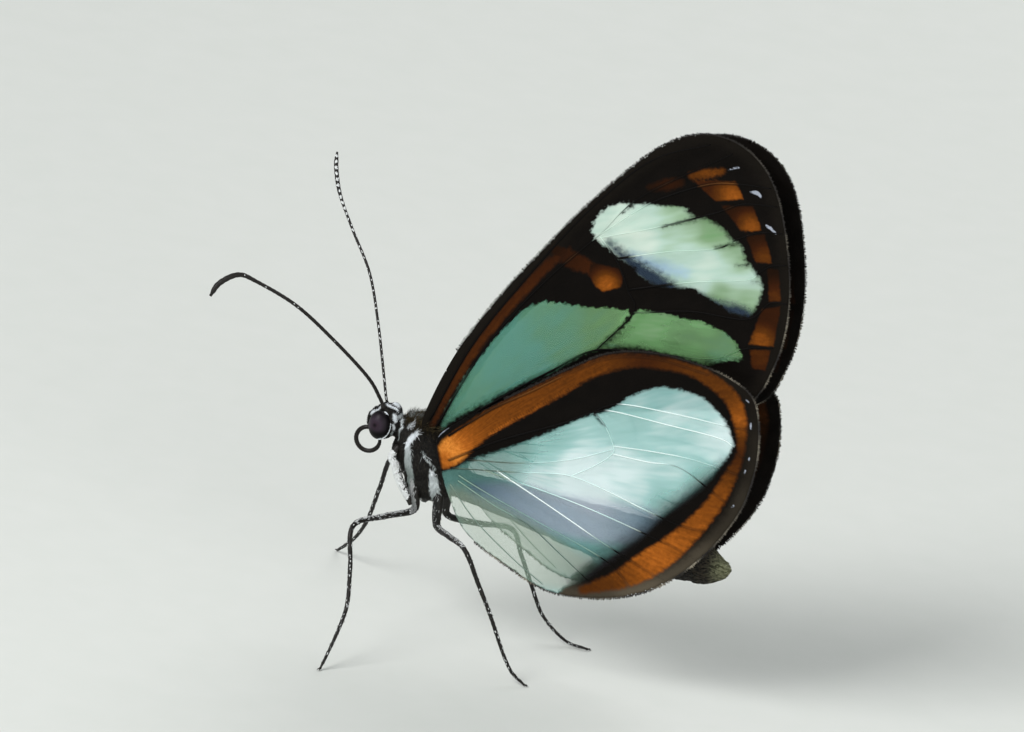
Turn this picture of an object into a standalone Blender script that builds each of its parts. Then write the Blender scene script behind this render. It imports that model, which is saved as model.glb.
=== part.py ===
"""A still, life-size model of the butterfly Oleria quintina, resting with its wings closed
over its back. It faces -X, its left side is -Y, and it stands on the plane Z = 0.

Every length below is in millimetres. X is measured from the middle feet, Y from the mid
plane of the body and Z from the ground, and place() moves this to the model's own origin,
the middle of its footprint.
"""

import math

import bmesh
import bpy
from mathutils import Vector

MM = 0.001
MIDDLE_X = 5.4
GAP = 0.3
SIDES = {"left": -1, "right": 1}

WING_THICKNESS = 0.5
FOREWING_Y = 1.15
HINDWING_Y = 2.05
VEIN_RISE = 0.1
VEIN_THICK = 0.26
VEIN_THIN = 0.17

LIMB = 0.26
FOOT_RADIUS = 0.34
FOOT_HEIGHT = 0.36
FOOT_SIDES = 12

THORAX = [
    ((2.15, 0, 10.55), (2.1, 1.55, 2.2)),
    ((2.3, 0, 9.1), (1.55, 1.2, 1.35)),
    ((0.8, 0, 11.25), (0.7, 0.85, 0.95)),
]
SKULL = [
    ((-0.8, 0, 11.65), (0.72, 0.46, 0.98)),
    ((-1.5, 0.36, 11.6), (0.34, 0.26, 0.52)),
    ((-1.5, -0.36, 11.6), (0.34, 0.26, 0.52)),
]
OCCIPUT = ((-0.35, 0, 11.75), (0.5, 0.8, 0.85))
EYE = ((-0.84, 0.72, 11.55), (0.56, 0.52, 0.72))

ABDOMEN_LENGTH = [
    (3.2, 9.1, 0.6),
    (4.6, 8.95, 0.85),
    (6.6, 8.8, 1.0),
    (9.4, 8.5, 1.25),
    (12.0, 8.3, 1.45),
    (14.2, 8.2, 1.48),
    (16.2, 8.15, 1.38),
    (17.9, 8.0, 1.15),
    (19.0, 7.95, 0.75),
    (19.6, 8.0, 0.3),
]
ABDOMEN_FLATTEN = 0.86
ABDOMEN_SEGMENTS = 8
ABDOMEN_GROOVE = 0.07
ABDOMEN_GROOVE_SHARPNESS = 0.5

FOREWING_OUTLINE = [
    (1.6, 11.9), (1.7, 13.4), (2.9, 17.0), (4.7, 20.5), (6.6, 23.6), (8.5, 26.5), (10.4, 29.0),
    (12.3, 31.1), (14.2, 32.2), (16.0, 32.3), (17.6, 31.6), (18.8, 30.2), (19.7, 28.0),
    (20.4, 25.2), (20.6, 22.6), (20.3, 20.4), (19.5, 18.3), (17.5, 17.2), (13.0, 16.0),
    (8.0, 14.2), (4.5, 12.4), (2.8, 11.2),
]
HINDWING_OUTLINE = [
    (2.7, 11.9), (3.4, 12.9), (5.4, 14.6), (7.4, 16.2), (9.4, 17.8), (11.4, 19.2), (13.6, 19.8),
    (16.0, 19.8), (18.2, 19.4), (19.7, 18.5), (20.3, 16.6), (20.4, 14.6), (20.0, 12.3),
    (18.9, 10.0), (17.3, 7.9), (15.4, 6.3), (13.0, 5.3), (10.2, 5.0), (7.8, 5.8), (5.2, 7.1),
    (3.9, 8.8), (3.1, 10.4),
]
FOREWING_VEINS = [
    [(1.9, 12.6), (3.6, 17.4), (6.0, 21.9), (8.9, 26.6), (11.8, 30.1), (14.9, 31.8)],
    [(2.3, 12.2), (4.1, 16.9), (5.9, 20.2), (7.8, 23.0), (9.7, 25.4), (11.6, 28.0), (16.2, 31.6)],
    [(9.7, 25.4), (12.2, 27.9), (15.1, 29.5), (18.3, 30.0)],
    [(9.7, 25.2), (12.9, 26.8), (16.1, 28.3), (19.1, 28.6)],
    [(10.9, 24.1), (14.2, 25.6), (17.5, 26.6), (19.8, 26.6)],
    [(11.7, 22.7), (15.0, 24.1), (18.4, 24.8), (20.2, 24.7)],
    [(12.2, 21.5), (15.3, 22.4), (18.4, 22.7), (20.3, 22.6)],
    [(2.6, 12.0), (5.6, 14.8), (8.1, 17.0), (10.5, 18.9), (14.0, 19.8), (17.3, 20.5), (20.0, 20.6)],
    [(9.7, 25.3), (10.9, 24.1), (11.7, 22.7), (12.2, 21.5), (10.5, 18.9)],
    [(2.9, 11.8), (6.9, 13.9), (13.4, 16.6), (19.0, 18.5)],
]
HINDWING_VEINS = [
    [(3.0, 11.6), (6.0, 14.2), (9.5, 17.2), (13.2, 19.2), (16.6, 19.2), (19.0, 18.4)],
    [(3.5, 10.9), (6.2, 12.8), (9.4, 14.6), (11.1, 15.6), (13.5, 17.1), (16.8, 18.0), (19.5, 17.7)],
    [(11.1, 15.6), (12.5, 16.5), (15.9, 16.7), (20.0, 16.4)],
    [(11.6, 14.9), (14.3, 15.8), (17.2, 15.8), (20.1, 15.3)],
    [(12.6, 14.0), (16.8, 14.3), (20.0, 14.0)],
    [(3.7, 10.4), (6.3, 10.9), (10.4, 11.7), (12.7, 11.3), (16.0, 11.4), (19.5, 12.0)],
    [(12.7, 11.3), (15.7, 10.5), (18.7, 10.1)],
    [(11.1, 15.6), (11.6, 14.9), (12.6, 14.0), (10.4, 11.7)],
    [(6.3, 10.9), (7.8, 10.2), (10.2, 9.2), (12.6, 8.4), (16.6, 7.6)],
    [(3.9, 9.9), (7.5, 7.9), (11.0, 6.3), (12.9, 5.6)],
    [(3.8, 9.6), (5.5, 8.0), (8.0, 6.3), (9.8, 5.3)],
]
WING_ROOTS = {
    "forewing": ((2.2, 1.25, 12.3), (0.75, 0.45, 0.8)),
    "hindwing": ((3.5, 1.95, 10.9), (0.8, 0.45, 0.9)),
}
WING_HINGES = {"forewing": (2.0, 11.9), "hindwing": (3.1, 11.1)}
RIGHT_WING_DROOP = {"forewing": 1.25, "hindwing": 2.75}

ANTENNAE = {
    "left": [
        (-0.9, -0.3, 12.3), (-1.2, -0.4, 12.9), (-1.9, -1.1, 14.2), (-3.7, -2.5, 16.3),
        (-5.7, -3.8, 18.2), (-7.8, -5.1, 19.5), (-8.7, -5.6, 19.8), (-9.5, -6.2, 19.3),
        (-9.8, -6.6, 18.6),
    ],
    "right": [
        (-0.7, 0.3, 12.3), (-0.95, 0.4, 12.8), (-1.5, 0.9, 13.9), (-2.6, 2.1, 16.2),
        (-3.8, 3.3, 18.4), (-5.4, 4.4, 20.2), (-6.6, 5.2, 21.7), (-7.2, 5.8, 22.9),
        (-7.4, 6.2, 23.7),
    ],
}
ANTENNA_RADII = [0.26, 0.26, 0.25, 0.25, 0.25, 0.26, 0.3, 0.29, 0.12]

COIL_CENTRE = (-1.6, 0, 10.28)
COIL_RADIUS = 0.69
COIL_TUBE = 0.25
COIL_START = 75
COIL_END = 345
COIL_STEP = 15

LEGS = {
    "midleg_left": [
        (1.5, -0.6, 9.2), (1.65, -0.85, 8.2), (1.78, -1.0, 7.3), (0.7, -2.7, 7.2),
        (-0.5, -4.6, 6.93), (0.0, -5.8, 5.1), (0.41, -6.8, 3.25), (0.3, -7.8, 1.7),
        (0.0, -8.85, 0.27),
    ],
    "midleg_right": [
        (1.5, 0.6, 9.2), (1.65, 0.85, 8.2), (1.78, 1.0, 7.3), (0.3, 2.6, 7.7),
        (-1.19, 4.2, 7.97), (-1.85, 5.1, 5.7), (-2.47, 6.0, 3.42), (-3.39, 7.3, 1.62),
        (-4.64, 8.85, 0.27),
    ],
    "hindleg_left": [
        (2.9, -0.5, 8.9), (3.05, -0.8, 7.7), (3.24, -1.0, 6.7), (4.3, -2.4, 6.85),
        (5.72, -4.0, 6.91), (6.75, -4.0, 5.2), (7.67, -4.0, 3.62), (9.09, -3.9, 0.95),
        (10.13, -3.86, 0.27),
    ],
    "hindleg_right": [
        (2.9, 0.5, 8.9), (3.05, 0.8, 7.7), (3.24, 1.0, 6.7), (4.8, 2.0, 6.3),
        (6.39, 3.0, 6.06), (7.1, 3.1, 4.7), (7.9, 3.2, 3.1), (8.8, 3.3, 1.45),
        (10.2, 3.5, 0.4), (11.5, 3.58, 0.27),
    ],
}
LEG_ROOT_RADII = [0.36, 0.36, 0.3, 0.28]
FORELEG = [
    (0.35, 0.55, 10.6), (0.3, 0.95, 10.1), (0.5, 1.15, 9.5), (0.8, 1.3, 9.0),
    (1.05, 1.4, 8.5), (1.25, 1.45, 8.1),
]
FORELEG_RADII = [0.28, 0.28, 0.28, 0.27, 0.22, 0.14]

TINY = 1e-6
WELD = 1e-7
SHARP_ANGLE = 35

COLOURS = {
    "black": ((0.012, 0.010, 0.009), 0.6),
    "body": ((0.035, 0.028, 0.024), 0.7),
    "eye": ((0.03, 0.02, 0.03), 0.2),
    "leg": ((0.03, 0.03, 0.03), 0.5),
    "wing": ((0.42, 0.62, 0.6), 0.4),
}


def place(x, y, z):
    """A point given in the butterfly's own millimetres, in metres from the origin."""
    return Vector(((x - MIDDLE_X) * MM, y * MM, z * MM))


def material(name):
    colour, roughness = COLOURS[name]
    made = bpy.data.materials.get(name) or bpy.data.materials.new(name)
    made.use_nodes = True
    shader = made.node_tree.nodes["Principled BSDF"]
    shader.inputs["Base Color"].default_value = (*colour, 1)
    shader.inputs["Roughness"].default_value = roughness
    shader.inputs["Metallic"].default_value = 0
    return made


def face_out(shape):
    """Points the faces of a closed shape outwards."""
    bmesh.ops.recalc_face_normals(shape, faces=shape.faces)
    if shape.calc_volume(signed=True) < 0:
        bmesh.ops.reverse_faces(shape, faces=shape.faces)


def mesh_object(name, shape):
    """Stores a bmesh as an object of the butterfly's collection."""
    mesh = bpy.data.meshes.new(name)
    shape.to_mesh(mesh)
    shape.free()
    made = bpy.data.objects.new(name, mesh)
    bpy.data.collections["butterfly"].objects.link(made)
    return made


def ellipsoid(centre, radii, grow=0.0, side=1, around=20, rings=12):
    """An egg shape. side -1 mirrors its centre to the left."""
    shape = bmesh.new()
    bmesh.ops.create_uvsphere(shape, u_segments=around, v_segments=rings, radius=1)
    bmesh.ops.scale(shape, vec=[(radius + grow) * MM for radius in radii], verts=shape.verts)
    x, y, z = centre
    bmesh.ops.translate(shape, vec=place(x, y * side, z), verts=shape.verts)
    return mesh_object("egg", shape)


def through(points, steps):
    """A smooth curve of Catmull-Rom spans through points of any number of coordinates."""
    ends = [points[0], *points, points[-1]]
    curve = []
    for before, start, end, after in zip(ends, ends[1:], ends[2:], ends[3:]):
        for step in range(steps):
            t = step / steps
            curve.append(tuple(
                0.5 * (2 * b + (c - a) * t + (2 * a - 5 * b + 4 * c - d) * t * t
                       + (3 * b - a - 3 * c + d) * t ** 3)
                for a, b, c, d in zip(before, start, end, after)))
    return [*curve, tuple(points[-1])]


def closed_through(points, steps):
    """The same curve round a closed outline."""
    looped = through([points[-1], *points, points[0], points[1]], steps)
    return looped[steps:-steps - 1]


def from_curve(curve, name="piece"):
    """Turns a curve into a closed mesh: its end caps are welded on."""
    holder = bpy.data.objects.new(name, curve)
    bpy.data.collections["butterfly"].objects.link(holder)
    bpy.context.view_layer.update()
    ready = holder.evaluated_get(bpy.context.evaluated_depsgraph_get())
    shape = bmesh.new()
    flat = bpy.data.meshes.new_from_object(ready)
    shape.from_mesh(flat)
    bmesh.ops.remove_doubles(shape, verts=shape.verts, dist=WELD)
    face_out(shape)
    made = mesh_object(name, shape)
    made.matrix_world = holder.matrix_world
    bpy.data.objects.remove(holder)
    bpy.data.meshes.remove(flat)
    return made


def tube(points, radii, steps=2, roundness=2):
    """A round limb through the points, its radius changing smoothly from one to the next."""
    curve = bpy.data.curves.new("tube", "CURVE")
    curve.dimensions = "3D"
    curve.bevel_depth = MM
    curve.bevel_resolution = roundness
    curve.use_fill_caps = True
    route = through([(*point, radius) for point, radius in zip(points, radii)], steps)
    spline = curve.splines.new("POLY")
    spline.points.add(len(route) - 1)
    for point, (x, y, z, radius) in zip(spline.points, route):
        point.co = (*place(x, y, z), 1)
        point.radius = radius
    return from_curve(curve)


def slab(outline, y, thickness):
    """A flat sheet that stands along the body, cut to a closed outline of X and Z."""
    curve = bpy.data.curves.new("slab", "CURVE")
    curve.dimensions = "2D"
    curve.fill_mode = "BOTH"
    curve.extrude = thickness / 2 * MM
    spline = curve.splines.new("POLY")
    spline.points.add(len(outline) - 1)
    spline.use_cyclic_u = True
    for point, (x, z) in zip(spline.points, outline):
        point.co = ((x - MIDDLE_X) * MM, z * MM, 0, 1)
    sheet = from_curve(curve)
    shape = bmesh.new()
    shape.from_mesh(sheet.data)
    for vertex in shape.verts:
        across, up, depth = vertex.co
        vertex.co = (across, y * MM - depth, up)
    face_out(shape)
    shape.to_mesh(sheet.data)
    shape.free()
    return sheet


def keep_largest(thing):
    """Drops every closed surface but the largest."""
    shape = bmesh.new()
    shape.from_mesh(thing.data)
    shape.verts.ensure_lookup_table()
    groups, seen = [], set()
    for start in shape.verts:
        if start.index in seen:
            continue
        seen.add(start.index)
        group, front = [start], [start]
        while front:
            for edge in front.pop().link_edges:
                for vertex in edge.verts:
                    if vertex.index not in seen:
                        seen.add(vertex.index)
                        group.append(vertex)
                        front.append(vertex)
        groups.append(group)
    groups.sort(key=len)
    loose = [vertex for group in groups[:-1] for vertex in group]
    bmesh.ops.delete(shape, geom=loose, context="VERTS")
    shape.to_mesh(thing.data)
    shape.free()


def combine(first, others, operation):
    """Joins the others to the first piece, or cuts them out of it, and removes them. The
    MANIFOLD solver is used because the exact one is slow on a wing's many crossing veins."""
    if not others:
        return first
    group = bpy.data.collections.new("others")
    bpy.context.scene.collection.children.link(group)
    for other in others:
        group.objects.link(other)
    cut = first.modifiers.new("combine", "BOOLEAN")
    cut.operand_type = "COLLECTION"
    cut.collection = group
    cut.operation = operation
    cut.solver = "MANIFOLD"
    bpy.context.view_layer.update()
    ready = first.evaluated_get(bpy.context.evaluated_depsgraph_get())
    result = bpy.data.meshes.new_from_object(ready)
    first.modifiers.clear()
    first.data = result
    for other in others:
        bpy.data.objects.remove(other)
    bpy.data.collections.remove(group)
    return first


def fuse(pieces):
    return combine(pieces[0], pieces[1:], "UNION")


def cut_away(piece, cutters):
    return combine(piece, cutters, "DIFFERENCE")


def finish(thing, name, look):
    """Names a node, gives it its material and smooths its round faces."""
    keep_largest(thing)
    thing.name = name
    thing.data.name = name
    thing.data.materials.clear()
    thing.data.materials.append(material(look))
    thing.data.shade_smooth()
    thing.data.set_sharp_from_angle(angle=math.radians(SHARP_ANGLE))
    return thing


def thorax_forms(grow=0.0):
    return [ellipsoid(centre, radii, grow) for centre, radii in THORAX]


def skull_forms(grow=0.0):
    return [ellipsoid(centre, radii, grow) for centre, radii in SKULL]


def eye_form(side, grow=0.0):
    return ellipsoid(*EYE, grow, side)


def make_head():
    back = cut_away(ellipsoid(*OCCIPUT), [eye_form(side, GAP) for side in SIDES.values()])
    head = cut_away(fuse([*skull_forms(), back]), thorax_forms(GAP))
    finish(head, "head", "body")
    for word, side in SIDES.items():
        eye = cut_away(eye_form(side), skull_forms(GAP))
        finish(eye, f"eye_{word}", "eye")


def make_antennae():
    for word in SIDES:
        feeler = tube(ANTENNAE[word], ANTENNA_RADII)
        feeler = cut_away(feeler, [*skull_forms(GAP), ellipsoid(*OCCIPUT, GAP)])
        finish(feeler, f"antenna_{word}", "black")


def make_proboscis():
    """The feeding tube, coiled under the face in the body's mid plane."""
    x, y, z = COIL_CENTRE
    turn = [math.radians(angle) for angle in range(COIL_START, COIL_END + 1, COIL_STEP)]
    points = [(x + COIL_RADIUS * math.cos(a), y, z + COIL_RADIUS * math.sin(a)) for a in turn]
    coil = tube(points, [COIL_TUBE] * len(points), steps=1)
    finish(cut_away(coil, skull_forms(GAP)), "proboscis", "black")


def abdomen_form(grow=0.0):
    """A body of revolution bent along its length, with a groove at each segment's edge."""
    around, rings = 20, 4 * ABDOMEN_SEGMENTS
    line = through(ABDOMEN_LENGTH, 8)
    first, last = line[0][0], line[-1][0]
    shape = bmesh.new()
    bmesh.ops.create_uvsphere(shape, u_segments=around, v_segments=rings, radius=1)
    for vertex in shape.verts:
        across, deep, along = vertex.co
        share = 1 - math.acos(max(-1, min(1, along))) / math.pi
        x = first + (last - first) * share
        before, after = next(
            (a, b) for a, b in zip(line, line[1:]) if b[0] >= x - TINY)
        mix = (x - before[0]) / (after[0] - before[0])
        z = before[1] + (after[1] - before[1]) * mix
        radius = before[2] + (after[2] - before[2]) * mix
        groove = abs(math.sin(math.pi * ABDOMEN_SEGMENTS * share)) ** ABDOMEN_GROOVE_SHARPNESS
        radius = radius * (1 - ABDOMEN_GROOVE * (1 - groove)) + grow
        ring = math.hypot(across, deep)
        if ring < TINY:
            vertex.co = place(x, 0, z)
        else:
            vertex.co = place(x, deep / ring * radius * ABDOMEN_FLATTEN, z + across / ring * radius)
    face_out(shape)
    return mesh_object("abdomen", shape)


def drooped(points, kind, word):
    """The right wings hang a little lower than the left ones, turned about their hinges."""
    angle = math.radians(RIGHT_WING_DROOP[kind]) if word == "right" else 0
    hinge_x, hinge_z = WING_HINGES[kind]
    turned = []
    for x, z in points:
        back, up = x - hinge_x, z - hinge_z
        turned.append((
            hinge_x + back * math.cos(angle) + up * math.sin(angle),
            hinge_z - back * math.sin(angle) + up * math.cos(angle)))
    return turned


def make_wing(kind, word, outline, veins, y):
    """One wing: a thin sheet, its veins as ridges on the outer face, and its root."""
    side = SIDES[word]
    outline = drooped(outline, kind, word)
    pieces = [slab(closed_through(outline, 3), side * y, WING_THICKNESS)]
    ridge = y + WING_THICKNESS / 2 + VEIN_RISE - VEIN_THIN
    for vein in veins:
        count = len(vein) - 1
        radii = [VEIN_THICK + (VEIN_THIN - VEIN_THICK) * i / count for i in range(count + 1)]
        points = [
            (x, side * (ridge + VEIN_THIN - radius), z)
            for (x, z), radius in zip(drooped(vein, kind, word), radii)]
        pieces.append(tube(points, radii, steps=2, roundness=1))
    pieces.append(ellipsoid(*WING_ROOTS[kind], 0.0, side))
    wing = cut_away(fuse(pieces), [*thorax_forms(GAP), abdomen_form(GAP)])
    finish(wing, f"{kind}_{word}", "wing")


def make_legs():
    for name, points in LEGS.items():
        radii = [*LEG_ROOT_RADII, *[LIMB] * (len(points) - len(LEG_ROOT_RADII))]
        limb = tube(points, radii)
        x, y, z = points[-1]
        shape = bmesh.new()
        bmesh.ops.create_cone(
            shape, cap_ends=True, segments=FOOT_SIDES, radius1=FOOT_RADIUS * MM,
            radius2=FOOT_RADIUS * MM, depth=FOOT_HEIGHT * MM)
        bmesh.ops.translate(shape, vec=place(x, y, FOOT_HEIGHT / 2), verts=shape.verts)
        limb = cut_away(fuse([limb, mesh_object("foot", shape)]), thorax_forms(GAP))
        finish(limb, name, "leg")
    for word, side in SIDES.items():
        limb = tube([(x, y * side, z) for x, y, z in FORELEG], FORELEG_RADII)
        finish(cut_away(limb, thorax_forms(GAP)), f"foreleg_{word}", "leg")


def main():
    for thing in list(bpy.data.objects):
        bpy.data.objects.remove(thing)
    group = bpy.data.collections.new("butterfly")
    bpy.context.scene.collection.children.link(group)
    finish(fuse(thorax_forms()), "thorax", "body")
    make_head()
    make_antennae()
    make_proboscis()
    finish(cut_away(abdomen_form(), thorax_forms(GAP)), "abdomen", "body")
    for word in SIDES:
        make_wing("forewing", word, FOREWING_OUTLINE, FOREWING_VEINS, FOREWING_Y)
        make_wing("hindwing", word, HINDWING_OUTLINE, HINDWING_VEINS, HINDWING_Y)
    make_legs()


main()
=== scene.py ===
# %% [markdown]
# A glasswing butterfly, life size, as a museum model. It stands on four legs with its wings
# closed over its back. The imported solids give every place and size, and this lesson dresses
# them: clear wings with scaled borders, one skin for the body, thin legs and feelers, and a
# coat of scales and hairs.

# %% Load the solids
import math

import bmesh
import bpy
import numpy as np
from mathutils import Matrix, Vector
from mathutils.bvhtree import BVHTree


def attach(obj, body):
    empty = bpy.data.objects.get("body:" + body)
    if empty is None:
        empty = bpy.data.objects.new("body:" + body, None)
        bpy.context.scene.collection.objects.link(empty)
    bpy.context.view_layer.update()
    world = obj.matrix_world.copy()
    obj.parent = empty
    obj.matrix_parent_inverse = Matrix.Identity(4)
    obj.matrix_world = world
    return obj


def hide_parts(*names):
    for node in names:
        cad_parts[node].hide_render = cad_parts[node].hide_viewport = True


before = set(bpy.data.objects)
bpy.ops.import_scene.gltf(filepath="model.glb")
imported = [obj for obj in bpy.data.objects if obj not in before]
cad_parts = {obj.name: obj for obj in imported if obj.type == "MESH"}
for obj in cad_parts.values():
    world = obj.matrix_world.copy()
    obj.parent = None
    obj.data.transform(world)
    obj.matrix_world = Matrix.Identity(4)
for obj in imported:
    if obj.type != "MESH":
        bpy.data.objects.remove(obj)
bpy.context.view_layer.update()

# %% [markdown]
# Everything is modelled in the butterfly's own millimetres, because Blender's tools keep
# small distances well at that size: X runs back from the middle feet, Y to its right and Z
# up. One function turns a finished mesh into metres round the middle of the footprint,
# which is where the solids have their origin.

# %% Units and finished meshes
MM = 0.001
MIDDLE_X = 5.4
SIDES = {"left": -1, "right": 1}
TO_MODEL = Matrix.Scale(MM, 4) @ Matrix.Translation((-MIDDLE_X, 0, 0))
random = np.random.default_rng(7)


def smooth_step(low, high, value):
    """0 below low, 1 above high, with a smooth rise between them."""
    share = np.clip((value - low) / (high - low), 0, 1)
    return share * share * (3 - 2 * share)


def mesh_of(shape, name):
    mesh = bpy.data.meshes.new(name)
    shape.to_mesh(mesh)
    shape.free()
    return mesh


def new_object(name, data):
    """Puts a mesh, a lamp or a camera into the scene."""
    made = bpy.data.objects.new(name, data)
    bpy.context.scene.collection.objects.link(made)
    return made


def settle(shape, name, look, replaced=()):
    """Turns a bmesh in millimetres into a finished piece that rides on the body."""
    return settle_mesh(mesh_of(shape, name), name, look, replaced)


def settle_mesh(mesh, name, look, replaced=()):
    mesh.transform(TO_MODEL)
    for finish in look if isinstance(look, list) else [look]:
        mesh.materials.append(finish)
    mesh.shade_smooth()
    piece = new_object(name, mesh)
    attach(piece, "root")
    if replaced:
        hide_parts(*replaced)
    print(name, len(mesh.polygons), "faces")
    return piece


def store_marks(mesh, marks, repeat=1):
    """Stores each mark on the mesh's corners; every value serves so many corners in a row."""
    for name, values in marks.items():
        store = mesh.attributes.new(name, "FLOAT", "POINT")
        store.data.foreach_set("value", np.repeat(values, repeat).astype(np.float32))


# %% [markdown]
# The camera looks from the butterfly's left, a little from the front and from above, and is
# rolled a little. A very long lens stands far back, so that near and far legs keep their
# proportions as in the photo. The picture is 1024 pixels wide and the scale 18.5 pixels a
# millimetre, which gives the width of the view at the butterfly.

# %% Camera
PICTURE_WIDTH = 1024
PIXELS_PER_MM = 18.5
VIEW_TURN = math.radians(14)
VIEW_RISE = math.radians(20)
VIEW_ROLL = math.radians(9)
LENS = 600
SENSOR = 36
TARGET = (5.71, 0, 16.38)

view_back = Vector((
    math.sin(VIEW_TURN) * math.cos(VIEW_RISE),
    -math.cos(VIEW_TURN) * math.cos(VIEW_RISE),
    math.sin(VIEW_RISE)))
level = Vector((math.cos(VIEW_TURN), math.sin(VIEW_TURN), 0))
upward = view_back.cross(level)
right = math.cos(VIEW_ROLL) * level + math.sin(VIEW_ROLL) * upward
distance = PICTURE_WIDTH / PIXELS_PER_MM * LENS / SENSOR

camera = bpy.data.cameras.new("camera")
camera.lens = LENS
camera.sensor_width = SENSOR
camera.clip_start = 0.05
camera.clip_end = 20
viewer = new_object("camera", camera)
turned = Matrix((right, view_back.cross(right), view_back)).transposed().to_4x4()
viewer.matrix_world = Matrix.Translation(
    TO_MODEL @ (Vector(TARGET) + view_back * distance)) @ turned
bpy.context.scene.camera = viewer
bpy.context.scene.view_settings.view_transform = "Standard"
print("camera", round(distance), "mm from the butterfly")

# %% [markdown]
# Colours are written as they are read on a screen, in hex, and one function turns them to
# the linear values that the renderer mixes. A second function adds a node to a material with
# its settings and links. The others are the few steps that every finish is made of, so that
# each finish reads from top to bottom.


# %% Colour and node helpers
def linear(code):
    """An sRGB hex colour as linear red, green, blue and alpha."""
    parts = [int(code[i:i + 2], 16) / 255 for i in (1, 3, 5)]
    return (*[c / 12.92 if c <= 0.04045 else ((c + 0.055) / 1.055) ** 2.4 for c in parts], 1)


def add(tree, kind, inputs=None, **settings):
    """Adds a node; an input is a value or the socket that feeds it."""
    node = tree.nodes.new(kind)
    for key, value in settings.items():
        setattr(node, key, value)
    for key, value in (inputs or {}).items():
        if isinstance(value, bpy.types.NodeSocket):
            tree.links.new(value, node.inputs[key])
        else:
            node.inputs[key].default_value = value
    return node


def finish_named(name, **sockets):
    """A material with its shader's own sockets set; returns it, its tree and its shader."""
    made = bpy.data.materials.new(name)
    made.use_nodes = True
    shader = made.node_tree.nodes["Principled BSDF"]
    for key, value in sockets.items():
        shader.inputs[key.replace("_", " ")].default_value = value
    return made, made.node_tree, shader


def blend_colours(tree, factor, first, second):
    """Mixes two colours, each a hex code or a socket."""
    inputs = {0: factor}
    for socket, value in ((6, first), (7, second)):
        inputs[socket] = linear(value) if isinstance(value, str) else value
    return add(tree, "ShaderNodeMix", inputs, data_type="RGBA").outputs[2]


def combine(tree, operation, first, *others):
    """Joins values and sockets from left to right."""
    for other in others:
        first = add(
            tree, "ShaderNodeMath", {0: first, 1: other}, operation=operation).outputs[0]
    return first


def plus(tree, *parts):
    return combine(tree, "ADD", *parts)


def times(tree, *parts):
    return combine(tree, "MULTIPLY", *parts)


def read(tree, name, output="Fac"):
    return add(tree, "ShaderNodeAttribute", attribute_name=name).outputs[output]


def threshold(tree, value, low, high):
    """0 below low and 1 above high, for a crisp or a soft edge."""
    inputs = {"Value": value, "From Min": low, "From Max": high}
    return add(
        tree, "ShaderNodeMapRange", inputs, interpolation_type="SMOOTHSTEP").outputs[0]


def noise(tree, scale, detail=2.0, spot=None):
    """Cloudy noise over the object's own coordinates, or over the ones given."""
    if spot is None:
        spot = add(tree, "ShaderNodeTexCoord").outputs["Object"]
    inputs = {"Vector": spot, "Scale": scale, "Detail": detail}
    return add(tree, "ShaderNodeTexNoise", inputs).outputs[0]


def feed(tree, shader, **sockets):
    """Links each named input of the shader to a socket."""
    for key, socket in sockets.items():
        tree.links.new(socket, shader.inputs[key.replace("_", " ")])


def emboss(tree, shader, height, strength, distance, invert=False):
    """A bump as high as the distance, in metres."""
    inputs = {"Height": height, "Strength": strength, "Distance": distance}
    relief = add(tree, "ShaderNodeBump", inputs, invert=invert)
    feed(tree, shader, Normal=relief.outputs[0])


# %% [markdown]
# The studio is a plain pale floor under soft light: a large lamp high on the left, a weaker
# one from the right and one behind that lights through the clear wings, as the sky does
# through a real pair.

# %% Studio
FLOOR_SIZE = 1.5
LAMPS = [
    ("key", (-0.16, -0.24, 0.28), 0.18, 1.35),
    ("fill", (0.25, -0.20, 0.12), 0.20, 0.3),
    ("back", (0.06, 0.28, 0.22), 0.25, 0.55),
]
LIT_PLACE = (0, 0, 0.015)
SKY_STRENGTH = 0.36

plain, tree, shader = finish_named("matte_painted_floor", Roughness=0.8)
feed(tree, shader, Base_Color=blend_colours(tree, noise(tree, 400), "#cfd2cc", "#d4d6d1"))
shape = bmesh.new()
bmesh.ops.create_grid(shape, x_segments=1, y_segments=1, size=FLOOR_SIZE / 2)
mesh = mesh_of(shape, "floor")
mesh.materials.append(plain)
floor = new_object("floor", mesh)

world = bpy.data.worlds.new("studio")
world.use_nodes = True
sky = world.node_tree.nodes["Background"].inputs
sky["Color"].default_value = linear("#e6ecf0")
sky["Strength"].default_value = SKY_STRENGTH
bpy.context.scene.world = world
for name, spot, size, power in LAMPS:
    lamp = bpy.data.lights.new(name, "AREA")
    lamp.size = size
    lamp.energy = power
    holder = new_object(name, lamp)
    holder.location = spot
    downward = Vector(LIT_PLACE) - holder.location
    holder.rotation_euler = downward.to_track_quat("-Z", "Y").to_euler()
print("lamps", [name for name, *rest in LAMPS])

# %% [markdown]
# Every marking is a curve drawn in the wing's own plane. A smooth curve goes through a few
# points, and two measures say where a spot of the wing lies: how deep inside a closed
# outline, or how deep inside a ribbon whose width and brightness change along its line.


# %% Curves and measures
def lengths(rows):
    """The length of each row, taken as a vector."""
    return np.linalg.norm(rows, axis=1)


def unit(rows):
    return rows / lengths(rows)[:, None]


def one_sided(points):
    """Points of both sides, laid on the right side."""
    return np.column_stack([points[:, 0], np.abs(points[:, 1]), points[:, 2]])


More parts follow.
